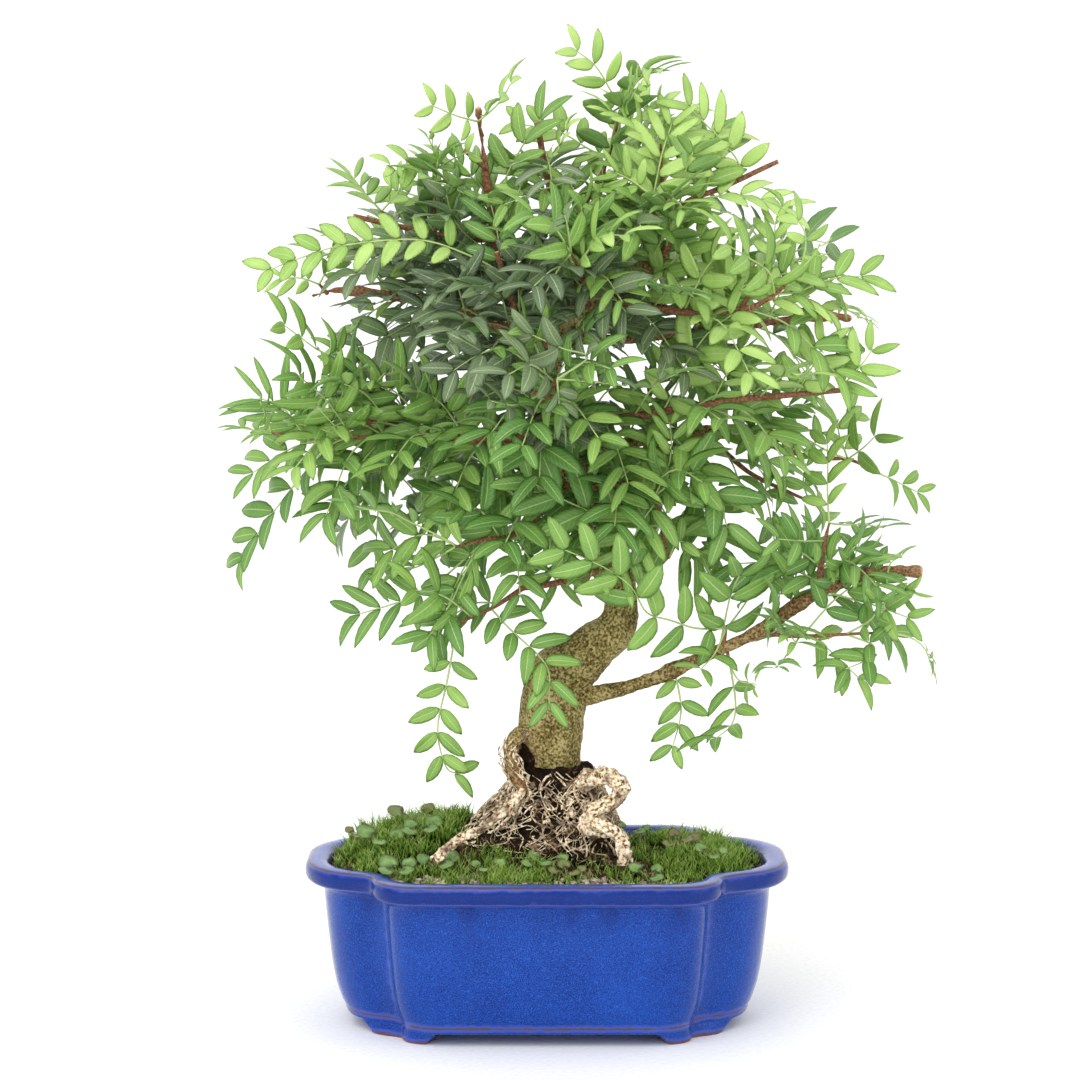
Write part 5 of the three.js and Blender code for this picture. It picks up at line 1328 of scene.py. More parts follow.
def leaflets(path, pairs, long, wide, roll, face, seed):
    """Each leaflet of a leaf: its root, its three ways, its length and its width."""
    lengths = lengths_along(path)
    total = lengths[-1]

    def along(s):
        return point_on(path, lengths, s)

    foot = LEAFLET_FOOT * min(1, total / (pairs * 4))
    last_pair = total - foot / 2
    spacing = wide * 1.25 + 3
    if pairs > 1:
        spacing = min((last_pair - min(6, total * 0.3)) / (pairs - 1), spacing)
    first_pair = last_pair - (pairs - 1) * spacing
    found = []
    for j in range(pairs):
        s = first_pair + j * spacing - foot / 2
        tangent = unit(along(min(s + 1, total)) - along(max(s - 1, 0)))
        up = turned(perpendicular(np.array(face), tangent), tangent, roll + 14 * (scatter(seed, 3) - 0.5))
        left = np.cross(up, tangent)
        share = j / max(pairs - 1, 1)
        angle = math.radians(BASE_ANGLE + (TIP_ANGLE - BASE_ANGLE) * share)
        step = math.radians((BASE_ANGLE - TIP_ANGLE) / max(pairs - 1, 1))
        middle = 1 - 0.18 * abs(share - 0.5) * 2
        root_middle = (along(s) + along(s + foot)) / 2
        for k, side in enumerate((left, -left)):
            length = long * middle * (0.92 + 0.16 * scatter(seed * 31 + j, k))
            room = spacing * math.sin(angle - step) + WIDEST * length * math.sin(step)
            width = min(wide * middle, (room - 0.6) * 0.96)
            lift = math.radians(FOLD + 12 * (scatter(seed * 31 + j, k + 5) - 0.5))
            swing = angle + math.radians(6 * (scatter(seed * 17 + j, k + 9) - 0.5))
            out = side * math.cos(lift) + up * math.sin(lift)
            axis = tangent * math.cos(swing) + out * math.sin(swing)
            normal = perpendicular(up, axis)
            forward = np.cross(axis, normal) if k == 0 else np.cross(normal, axis)
            found.append((root_middle + side * RACHIS_HALF, axis, forward, normal, length, width))
    return found


def fit_of(corners, points):
    """How far points lie from the nearest corners of a solid, on average."""
    return sum(corners.find(p)[2] for p in points) / len(points)


def settled_stem(stem, corners):
    """A stem swayed as its solid is: four corners stand round its tip."""
    last = len(stem) - 1
    if last == 0:
        return stem

    def swayed(sway):
        return [(x, y, d + sway * i / last) for i, (x, y, d) in enumerate(stem)]

    def miss(sway):
        tip = at(swayed(sway))[-1]
        return sum(abs(found[2] - TWIG_TIP) for found in corners.find_n(tip, 4))

    return swayed(min(SWAYS, key=miss))


def settled_leaf(start, leaf, face, seed, corners):
    """How a leaf is bent in its solid."""
    _, _, pairs, long, wide, *rest = leaf
    roll = rest[1] if len(rest) > 1 else 0
    kept_pairs = int(pairs * PAIRS_KEPT + 0.5)

    def miss(bend):
        path = rachis_path(start, leaf, bend)
        tips = []
        for root, axis, _, normal, length, _ in leaflets(
                path, kept_pairs, long * LEAFLET_STRETCH * bend[2], wide * LEAFLET_SPREAD * bend[2],
                roll + bend[1], face, seed):
            tips.append(root + axis * length + normal * (BLADE / 2 - ARCH * length))
        return fit_of(corners, tips)

    return min(BENDS, key=miss)


def leaflet_form():
    """One leaflet, shaped from a grid: along it, across it, its quads and its skin's sides."""
    bpy.ops.mesh.primitive_grid_add(
        x_subdivisions=len(LEAFLET_STATIONS) - 1, y_subdivisions=LEAFLET_ACROSS, size=2,
        location=(0, 0, 0))
    model = bpy.context.object
    model.location = (0, 0, 0)
    starts = sorted({round(v.co.x, 5) for v in model.data.vertices})
    for start, station, width in zip(starts, LEAFLET_STATIONS, LEAFLET_WIDTHS):
        bpy.ops.object.mode_set(mode="EDIT")
        bpy.ops.mesh.select_all(action="DESELECT")
        bpy.ops.object.mode_set(mode="OBJECT")
        for v in model.data.vertices:
            v.select = abs(v.co.x - start) < 1e-4
        bpy.ops.object.mode_set(mode="EDIT")
        bpy.ops.transform.resize(value=(1, width, 1), center_override=(0, 0, 0))
        bpy.ops.transform.translate(value=(0, 0, station))
    bpy.ops.object.mode_set(mode="OBJECT")
    form = [(v.co.z, v.co.y, round(v.co.x, 5)) for v in model.data.vertices]
    quads = [tuple(p.vertices) for p in model.data.polygons]
    bpy.data.objects.remove(model)
    widths = dict(zip(starts, LEAFLET_WIDTHS))
    rim = [i for i, (_, across, row) in enumerate(form)
           if row in (starts[0], starts[-1]) or abs(abs(across) - widths[row]) < 1e-4]
    below = {i: i for i in rim}
    points = [(station, across, 1.0 if i not in below else 0.0)
              for i, (station, across, _) in enumerate(form)]
    side = [across / widths[row] for _, across, row in form]
    for i, (station, across, row) in enumerate(form):
        if i not in below:
            below[i] = len(points)
            points.append((station, across, -1.0))
            side.append(side[i])
    corners = quads + [tuple(below[i] for i in reversed(quad)) for quad in quads]
    under = [0] * len(quads) + [1] * len(quads)
    return np.array(points), np.array(side), np.array(corners), np.array(under)


class LeafBuilder:
    """Gathers the leaflets and rachises of many leaves, and makes one mesh of them."""

    def __init__(self, form):
        self.form = form
        self.points, self.faces, self.uvs, self.under, self.shades = [], [], [], [], []
        self.count = 0

    def add(self, points, faces, uvs, under, shade):
        """Adds points and faces, with where they lie on a blade and their shade."""
        self.points.append(points)
        self.faces.append(faces + self.count)
        self.uvs.append(uvs)
        self.under.append(under)
        self.shades.append(np.full(len(points), shade))
        self.count += len(points)

    def add_leaflet(self, root, axis, forward, normal, length, width, shade, seed):
        """A leaflet: arched along its length, folded on its midrib and a little twisted."""
        form, side, corners, under = self.form
        along, across, skin = form.T
        fold = 0.1 + 0.28 * scatter(seed, 21)
        droop = 0.8 + 0.9 * scatter(seed, 22)
        if scatter(seed, 25) > CURLED_ABOVE:
            fold, droop = fold + 0.5, droop + 1.3
        twist = math.radians(26 * (scatter(seed, 23) - 0.5)) * along
        wave = 0.05 * math.sin(6.3 * scatter(seed, 24)) * np.sin(7 * along)
        arch = length * (0.2173 * along - 0.2623 * droop * along**2)
        lateral = across * width / 2
        height = arch + np.abs(lateral) * (fold + wave) + 0.16 * skin
        turned_side = lateral * np.cos(twist)
        height = height + lateral * np.sin(twist)
        points = (root + np.outer(along * length, axis) + np.outer(turned_side, forward)
                  + np.outer(height, normal))
        if np.dot(np.cross(axis, forward), normal) < 0:
            corners = corners[:, ::-1]
        uvs = np.column_stack([along, 0.5 + 0.5 * side])
        self.add(points, corners, uvs, under, shade)

    def add_rachis(self, path, thick, thin, shade):
        """The leaf's stalk, four-sided and tapering."""
        count = len(path)
        tangents = np.gradient(path, axis=0)
        points = []
        for i, (p, tangent) in enumerate(zip(path, tangents)):
            way = unit(tangent)
            seed_side = np.array([1.0, 0, 0]) if abs(way[1]) > 0.9 else np.array([0, 1.0, 0])
            side = perpendicular(seed_side, way)
            other = np.cross(way, side)
            radius = thick + (thin - thick) * i / (count - 1)
            points += [p + side * radius, p + other * radius, p - side * radius, p - other * radius]
        faces = [(0, 3, 2, 1)]
        for i in range(count - 1):
            for k in range(4):
                a, b = 4 * i + k, 4 * i + (k + 1) % 4
                faces.append((a, b, b + 4, a + 4))
        end = 4 * (count - 1)
        faces.append((end, end + 1, end + 2, end + 3))
        uvs = np.full((len(points), 2), (0.1, 0.5))
        self.add(np.array(points), np.array(faces), uvs, np.zeros(len(faces)), shade)

    def add_leaf(self, path, pairs, long, wide, roll, face, seed, shade):
        """A whole leaf: its stalk and its pairs of leaflets."""
        self.add_rachis(path, RACHIS_THICK, RACHIS_THIN, max(shade - 0.25, 0))
        for k, found in enumerate(leaflets(path, pairs, long, wide, roll, face, seed)):
            tone = shade + 0.3 * (scatter(seed * 13 + k, 31) - 0.5)
            self.add_leaflet(*found, min(max(tone, 0), 1), seed * 29 + k)

    def build(self, name):
        """One mesh of all that was added."""
        piece = mesh_piece(name, np.vstack(self.points), np.vstack(self.faces))
        loops = np.vstack(self.faces).ravel()
        layer = piece.data.uv_layers.new(name="Blade")
        layer.data.foreach_set("uv", np.vstack(self.uvs)[loops].astype(np.float32).ravel())
        set_values(piece, "shade", np.concatenate(self.shades))
        under = piece.data.attributes.new("under", "FLOAT", "FACE")
        under.data.foreach_set("value", np.concatenate(self.under).astype(np.float32))
        return piece


def darkness(point):
    """How deep in the crown's dark heart a place is, from 0 to 1: last year's leaves with painted shade."""
    off = (np.array([point[0], point[2]]) - DARK_HEART) / DARK_REACH
    return math.exp(-float(off @ off))


def ripeness(point):
    """How much darker or lighter leaves are by place: ripe low down, young at the top and right."""
    low = RIPE_LOW[2] * np.clip((RIPE_LOW[0] - point[2]) / RIPE_LOW[1], 0, 1)
    top = YOUNG_TOP[2] * np.clip((point[2] - YOUNG_TOP[0]) / YOUNG_TOP[1], 0, 1)
    right = YOUNG_RIGHT[2] * np.clip((point[0] - YOUNG_RIGHT[0]) / YOUNG_RIGHT[1], 0, 1)
    return low - top - right


def in_foliage(point):
    """Whether a place is in the crown above the trunk's bend, or in one of the outer parts."""
    def within(middle, reach):
        off = (point - middle) / reach
        return float(off @ off) < 1

    in_crown = within(CROWN, CROWN_REACH) and point[2] > 205 + 0.25 * abs(point[0] - 20)
    return in_crown or any(within(*part) for part in FOLIAGE_PARTS)


def settled_sprays():
    """Every leafy stem as its solid has it: its stem, its leaves' starts, bends and seeds."""
    found = {}
    seed = 0
    every = [(name, limb, radius, stem, leaves, FRONT_FACE)
             for name, (limb, radius, stem, leaves) in SPRAYS.items()]
    for i, (name, (limb, stem)) in enumerate(BACK_SPRAYS.items()):
        face = FRONT_FACE if stem[2][2] < 0 else BACK_FACE
        every.append((name, limb, BACK_RADIUS, stem, ruled_leaves(stem, i), face))
    for name, limb, radius, stem, leaves, face in every:
        corners = search_tree(coordinates(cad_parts[name]))
        stem = settled_stem([root_point(limb, stem[0]), *stem[1:]], corners)
        laid = []
        for leaf in leaves:
            seed += 1
            bend = settled_leaf(stem[leaf[0]], leaf, face, seed, corners)
            laid.append((leaf, bend, seed))
        found[name] = (stem, radius, laid, face)
    return found


# Settings


def colour_setting(name, description, value):
    """A colour that a user would change, from its hex value."""
    return bpy.props.FloatVectorProperty(
        name=name, description=description, default=linear(value), subtype="COLOR", size=4,
        min=0, max=1)


class BonsaiPotSettings(bpy.types.PropertyGroup):
    glaze_blue: colour_setting("Glaze blue", "The glaze where it is thick", "#00308A")
    glaze_pale: colour_setting("Glaze pale", "The glaze where it is thinner", "#0D45A6")
    glaze_speck: colour_setting("Glaze speck", "Iron specks in the glaze", "#001856")
    glaze_pool: colour_setting("Glaze pool", "Thick glaze under the lip and on its face", "#042270")
    glaze_break: colour_setting("Glaze break", "The thin glaze on the edges", "#5A4638")
    glaze_fleck: colour_setting("Glaze fleck", "Pale flecks in the glaze", "#3672D6")
    # Its lavender on the lip's top and beside the notches is painted reflection of the light.
    glaze_thin_and_sheen: colour_setting("Thin glaze", "The glaze on rounded edges", "#4C5CB8")
    clay: colour_setting("Clay", "The bare clay of the soles", "#A9683F")
    clay_dark: colour_setting("Dark clay", "The grit in the bare clay", "#7A4527")
    speckle_size: bpy.props.FloatProperty(
        name="Speckle size", description="How far apart the specks are, in millimetres",
        default=0.48, min=0.3, max=5)


class BonsaiGroundSettings(bpy.types.PropertyGroup):
    # The darkest moss colour is painted shade in the depth of the cushions.
    moss_depth_shade: colour_setting("Moss depth", "The moss in the depth of a cushion", "#263C08")
    moss: colour_setting("Moss", "The moss blades", "#739A30")
    moss_tip: colour_setting("Moss tips", "The tips of the moss blades", "#C0D278")
    root_skin: colour_setting("Root skin", "The bare roots", "#CDB087")
    root_light: colour_setting("Root light", "The worn skin of the roots", "#FFF2DA")
    root_crease: colour_setting("Root creases", "The creases of the roots", "#4A3424")
    weed: colour_setting("Weed leaf", "The round leaves", "#86AA62")
    weed_dark: colour_setting("Dark weed leaf", "The round leaves' darker patches", "#5B8543")
    weed_bronze: colour_setting("Bronze weed leaf", "The bronzed round leaves and stalks", "#7A6C45")
    blade_count: bpy.props.IntProperty(
        name="Moss blades", description="Blades on the larger cushion", default=12000, min=100)
    blade_length: bpy.props.FloatProperty(
        name="Blade length", description="The length of a moss blade, in millimetres",
        default=8, min=1, max=20)
    fine_roots: bpy.props.IntProperty(
        name="Fine roots", description="Fine roots that bind the mound", default=215, min=10)


class BonsaiTreeSettings(bpy.types.PropertyGroup):
    bark: colour_setting("Bark", "The bark of the trunk", "#82753F")
    bark_dark: colour_setting("Dark bark", "The bark in its hollows", "#4A3C18")
    bark_pale: colour_setting("Pale bark", "The worn bark", "#B6A874")
    twig: colour_setting("Twig", "The bark of the twigs", "#A67656")
    twig_dark: colour_setting("Dark twig", "The twigs' darker skin", "#6A4634")
    cut_wood: colour_setting("Cut wood", "The wood where a twig was cut", "#DCB98C")


class BonsaiFoliageSettings(bpy.types.PropertyGroup):
    young: colour_setting("Young leaf", "The newest leaflets", "#B4D476")
    mature: colour_setting("Mature leaf", "This year's leaflets", "#88AF52")
    ripe: colour_setting("Ripe leaf", "The darkest of this year's leaflets", "#5C8A3E")
    old: colour_setting("Old leaf", "Last year's leaflets", "#7C9069")
    oldest: colour_setting("Oldest leaf", "The dullest of last year's leaflets", "#596B50")
    midrib: colour_setting("Midrib", "The midrib and side veins", "#B9CD86")
    extra_spacing: bpy.props.FloatProperty(
        name="Leaf spacing", description="How far apart the extra leaves start, in millimetres",
        default=8, min=3, max=60)


class BonsaiStageSettings(bpy.types.PropertyGroup):
    floor_colour: colour_setting("Floor", "The paper sweep", "#F4F4F2")
    key_power: bpy.props.FloatProperty(
        name="Key light", description="The large soft light in front", default=30, min=0, unit="POWER")
    fill_power: bpy.props.FloatProperty(
        name="Fill light", description="The soft light from the right", default=6, min=0, unit="POWER")
    top_power: bpy.props.FloatProperty(
        name="Top light", description="The soft light from above", default=8, min=0, unit="POWER")


# Pieces


class BONSAI_OT_pot(bpy.types.Operator):
    """Model the glazed pot with its feet and drain holes"""

    bl_idname = "bonsai.pot"
    bl_label = "Glazed pot"

    def execute(self, context):
        deselect()
        bowl = pot_body(CURVE_STEPS)
        for end in (-1, 1):
            where = place([(end * DRAIN_OFFSET, 0, POT_FLOOR)])[0]
            bpy.ops.mesh.primitive_cylinder_add(
                vertices=32, radius=DRAIN_RADIUS * MM, depth=2 * (POT_FLOOR - SOLE) * MM,
                location=tuple(where))
            drill = context.object
            apply_modifier(bowl, "BOOLEAN", object=drill, operation="DIFFERENCE", solver="EXACT")
            bpy.data.objects.remove(drill)
        feet = [pot_foot(CURVE_STEPS, right, back) for right in (-1, 1) for back in (-1, 1)]
        pot = join("glazed_pot", [bowl, *feet])
        points = coordinates(pot)
        height = points[:, 2]
        outer = np.zeros(len(points), bool)
        thin = np.zeros(len(points))
        for inset, level in POT_RINGS[:OUTER_RINGS]:
            shares = np.array(inset_shares(inset))
            reach = np.abs(points[:, :2]) / (np.array([POT_HALF_LENGTH, POT_HALF_DEPTH]) * shares)
            on_ring = (np.abs(height - level) < 0.05) & (reach.max(1) > 0.7)
            outer |= on_ring
            # A paler streak beside each notch, where the lobe turns away, is painted reflection stored as
            # thin glaze.
            off = np.linalg.norm(np.abs(points[:, :2]) - np.array(NOTCH_CORNER) * shares, axis=1)
            thin += np.where(on_ring, 0.3 * np.exp(-((off / 3) ** 2)), 0)
        for level, value in THIN_GLAZE_AND_SHEEN.items():
            thin[np.abs(height - level) < 0.05] = value
        set_values(pot, "thin", thin)
        set_values(pot, "stained", ~outer & (height < 74) & (height > 4))
        set_values(pot, "bare", np.clip((SOLE + 1 - height) / 0.6, 0, 1))
        pooled = np.zeros(len(points))
        hung = np.clip((height - DRIPS_ABOVE) / 10, 0, 1)
        for x, wide in DRIPS:
            pooled += np.exp(-(((points[:, 0] - x) / wide) ** 2)) * hung
        pooled = np.where(outer & (height < DRIPS_BELOW), np.clip(pooled * DRIP_SHARE, 0, DRIP_SHARE), 0)
        pooled[outer & (height > LIP_FACE[0]) & (height < LIP_FACE[1])] = LIP_SHARE
        set_values(pot, "pooled", pooled)
        apply_modifier(pot, "BEVEL", width=EDGE_WIDTH * MM, segments=2,
                       angle_limit=math.radians(HARD_EDGE))
        finish_piece(pot, glaze_material(context.scene.bonsai_pot), "glaze", "pot", angle=HARD_EDGE)
        return {"FINISHED"}


class BONSAI_OT_screens(bpy.types.Operator):
    """Finish the plastic screens over the drain holes"""

    bl_idname = "bonsai.screens"
    bl_label = "Drain screens"

    def execute(self, context):
        material = screen_material()
        for name in ("drain_screen_left", "drain_screen_right"):
            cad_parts[name].data.materials[0] = material
        return {"FINISHED"}


class BONSAI_OT_soil(bpy.types.Operator):
    """Model the earth with its grit"""

    bl_idname = "bonsai.soil"
    bl_label = "Earth and grit"

    def execute(self, context):
        outline = pot_outline(CURVE_STEPS)
        rings = []
        for level in (POT_FLOOR + SOIL_GAP, WALL_KNEE):
            rings.append(level_ring(outline * inset_shares(float(wall_inset(level)) + SOIL_GAP), level))
        edge = outline * inset_shares(float(wall_inset(SOIL_EDGE)) + SOIL_GAP)
        for spread in SOIL_RINGS:
            ring = edge * spread
            rings.append(np.column_stack([ring, soil_top(ring[:, 0], ring[:, 1])]))
        earth = loft("potting_earth", rings)
        points = coordinates(earth)
        top = points[:, 2] > SOIL_EDGE - 0.5
        waves = np.array([
            noise.noise(Vector(p / 9)) * 1.6 + noise.noise(Vector(p / 2.5)) * 0.8 for p in points])
        inner = np.clip((0.985 - np.abs(points[:, 0]) / edge[:, 0].max()) * 12, 0, 1)
        points[:, 2] += np.where(top, waves * inner, 0)
        move_points(earth, points)
        set_values(earth, "tone", 0)
        crumbs = []
        sown = ground_points(GRIT_COUNT, 5, lambda x, y: not over_mound(x, y, 0.9))
        for i, (x, y) in enumerate(sown):
            size = 0.5 + 0.9 * scatter(i, 8) ** 2
            crumbs.append((x, y, size, 0.5 * (scatter(i, 9) > 0.8)))
        front = ground_points(FRONT_GRIT_COUNT, 15, lambda x, y: y < -50 and not over_mound(x, y))
        for i, (x, y) in enumerate(front):
            crumbs.append((x, y, 0.9 + 1.5 * scatter(i, 18) ** 2, 0.35 + 0.65 * scatter(i, 19)))
        grit = stones("grit", crumbs, 3)
        whole = join("earth_and_grit", [earth, grit])
        material = earth_material("Crumbly potting earth", linear("#140D09"), linear("#4C3828"), 1.6)
        finish_piece(whole, material, "soil", "soil", angle=40)
        return {"FINISHED"}


class BONSAI_OT_mound(bpy.types.Operator):
    """Model the root mound: dark earth bound by a tangle of fine pale roots"""

    bl_idname = "bonsai.mound"
    bl_label = "Root mound"

    def execute(self, context):
        ground = context.scene.bonsai_ground
        turns = np.linspace(0, 2 * math.pi, MOUND_SIDES, endpoint=False)
        rings = [np.array([mound_point(turn, level) for turn in turns]) for level in MOUND_LEVELS]
        base = rings[0].copy()
        base[:, 2] = MOUND_BOTTOM
        cap = rings[-1].copy()
        cap[:, :2] = (cap[:, :2] - [MOUND_X, 0]) * 0.4 + [MOUND_X, 0]
        cap[:, 2] += 0.6
        mound = loft("mound_earth", [base, *rings, cap])
        bpy.ops.mesh.primitive_ico_sphere_add(subdivisions=4, radius=1, location=(0, 0, 0))
        clod = context.object
        form = np.array([v.co for v in clod.data.vertices])
        move_points(clod, form * COLLAR_CLOD_REACH + at([COLLAR_CLOD])[0])
        mound = join("root_mound_earth", [mound, clod])
        crumbled(mound, 6, 2.6, 3)
        crumbled(mound, 2, 1.1, 9)
        set_values(mound, "tone", 0)
        material = earth_material("Root-bound dark earth", linear("#060302"), linear("#2A1C12"), 1.3)
        finish_piece(mound, material, "root_earth", "root_mound")
        paths = []
        for i in range(ground.fine_roots):
            path = rooted_path(i, 7, 0.35 + 0.65 * scatter(i, 2), 0.1, 0.55, 1.5)
            paths.append((path, np.linspace(0.42, 0.16, len(path)) * (0.5 + 0.9 * scatter(i, 3))))
        for i in range(STOUT_ROOTS):
            path = rooted_path(900 + i, 8, 0.75 + 0.25 * scatter(i, 5), 0.15, 0.35, 2)
            paths.append((path, np.linspace(1, 0.4, len(path)) * (0.6 + 0.6 * scatter(i, 6))))
        for i in range(WRAPPED_ROOTS):
            turn = 2 * math.pi * scatter(i, 61)
            path = []
            for k in range(6):
                level = 0.25 + 0.6 * scatter(i, 62) + 0.1 * math.sin(1.7 * k + i)
                path.append(mound_point(turn + 0.22 * k, level, 1.2 + 1.6 * math.sin(0.63 * k)))
            paths.append((smooth(path, 3), 0.2 + 0.2 * scatter(i, 63)))
        collar = collar_path()[0]
        for i in range(ground.fine_roots // 5):
            first = int(scatter(i, 81) * (len(collar) - 9))
            turn = 2 * math.pi * scatter(i, 82)
            path = []
            for k in range(5):
                out = 3.4 + 2.4 * scatter(i, 83) + 0.8 * math.sin(1.9 * k + i)
                turn += 0.9 * (scatter(i, 84 + k) - 0.35)
                path.append(collar[first + 2 * k] + out * level_way(turn))
            paths.append((smooth(path, 3), 0.22 + 0.3 * scatter(i, 90)))
        roots = strands("fine_roots", paths, 0)
        crumbled(roots, 3, 0.5, 5)
        finish_piece(roots, root_material(ground), "root")
        return {"FINISHED"}


class BONSAI_OT_roots(bpy.types.Operator):
    """Model the two thick bare roots"""

    bl_idname = "bonsai.roots"
    bl_label = "Bare roots"

    def execute(self, context):
        material = root_material(context.scene.bonsai_ground)
        for name, (points, start, end) in ROOTS.items():
            path, radii = wood_path(points, np.linspace(start, end, len(points)))
            steps = np.arange(len(path))
            tangents = np.gradient(path, axis=0)
            sides = np.cross(tangents, [0.1, 0.3, 1])
            sides /= np.linalg.norm(sides, axis=1)[:, None]
            others = np.cross(tangents, sides)
            others /= np.linalg.norm(others, axis=1)[:, None]
            twisted = [(path, 0.72 * radii)]
            for k in range(ROOT_STRANDS):
                turns = 2 * math.pi * (k / ROOT_STRANDS + steps / STRAND_TURN)
                aside = sides * np.cos(turns)[:, None] + others * np.sin(turns)[:, None]
                off = 0.62 * radii * (1 + 0.25 * np.sin(steps * 0.45 + 2 * k))
                knots = 1 + 0.16 * np.sin(steps * 1.3 + k)
                twisted.append((path + aside * off[:, None], 0.46 * radii * knots))
            root = strands(name + "_skin", twisted, 3)
            apply_modifier(root, "REMESH", mode="VOXEL", voxel_size=ROOT_CELL * MM)
            apply_modifier(root, "SMOOTH", factor=0.5, iterations=2)
            crumbled(root, 4, 0.8, 2)
            crumbled(root, 1.5, 0.45, 4)
            finish_piece(root, material, "root", name)
        return {"FINISHED"}


class BONSAI_OT_moss(bpy.types.Operator):
    """Grow the moss: a dense cushion with thousands of blades on each side"""

    bl_idname = "bonsai.moss"
    bl_label = "Moss"

    def execute(self, context):
        ground = context.scene.bonsai_ground
        material = moss_material(ground)
        for seed, (name, moss) in enumerate(MOSSES.items()):
            places = moss_places(name, moss, 2 * ground.blade_count, 30 + 7 * seed)
            grass = blades(
                name + "_blades", places, ground.blade_length, BLADE_HALF_WIDTH, 50 + seed)
            finish_piece(grass, material, "moss", name)
        return {"FINISHED"}


class BONSAI_OT_weeds(bpy.types.Operator):
    """Grow the small round-leaved weeds round the tree"""

    bl_idname = "bonsai.weeds"
    bl_label = "Round-leaved weeds"

    def execute(self, context):
        stalks, leaves = [], []
        for seed, (x, y, count, reach, radius) in enumerate(WEEDS):
            bronze = 0.85 if seed in BRONZE_WEEDS else 0.1
            paths, found = round_leaf_plant(x, y, count, reach, radius, bronze, 3 + 7 * seed)
            stalks += paths
            leaves += found
        stems = strands("weed_stalks", stalks, 1)
        set_values(stems, "tone", 0.8)
        plants = join("round_leaved_weeds", [round_leaves("weed_leaves", leaves), stems])
        finish_piece(plants, weed_material(context.scene.bonsai_ground), "weed", "weed_left")
        return {"FINISHED"}


class BONSAI_OT_trunk(bpy.types.Operator):
    """Model the trunk and limbs, their junctions grown together, and their cut ends"""

    bl_idname = "bonsai.trunk"
    bl_label = "Trunk and limbs"

    def execute(self, context):
        paths = limb_paths()
        paths["collar_root"] = collar_path()
        thick = [name for name, (_, radii) in paths.items() if radii[0] > GROWN_RADIUS]
        trunk = strands("grown_trunk", [paths[name] for name in thick], 6)
        apply_modifier(trunk, "REMESH", mode="VOXEL", voxel_size=TRUNK_CELL * MM)
        apply_modifier(trunk, "SMOOTH", factor=0.5, iterations=5)
        crumbled(trunk, 14, 1.6, 1)
        crumbled(trunk, 3.2, 0.55, 2)
        thin = strands("thin_limbs", [paths[name] for name in paths if name not in thick], 2)
        crumbled(thin, 3, 0.3, 6)
        wood = join("trunk_and_limbs", [trunk, thin])
        shade_wood(wood, paths)
        finish_piece(wood, bark_material(context.scene.bonsai_tree), "bark", "trunk")
        return {"FINISHED"}


def shade_wood(wood, paths):
    """Stores how thin the wood is at each point, and where it was cut."""
    radii_along = np.concatenate([radii for _, radii in paths.values()])
    middles = search_tree(np.vstack([path for path, _ in paths.values()]))
    points = coordinates(wood)
    near = np.array([radii_along[middles.find(p)[1]] for p in points])
    set_values(wood, "thin", np.clip((4.2 - near) / 2.2, 0, 1))
    cut = np.zeros(len(points))
    for name, (path, radii) in paths.items():
        if name in UNCUT:
            continue
        end, way = path[-1], unit(path[-1] - path[-2])
        off = points - end
        cut[(np.abs(off @ way) < 0.35) & (np.linalg.norm(off, axis=1) < radii[-1] * 1.25)] = 1
    set_values(wood, "cut", cut)


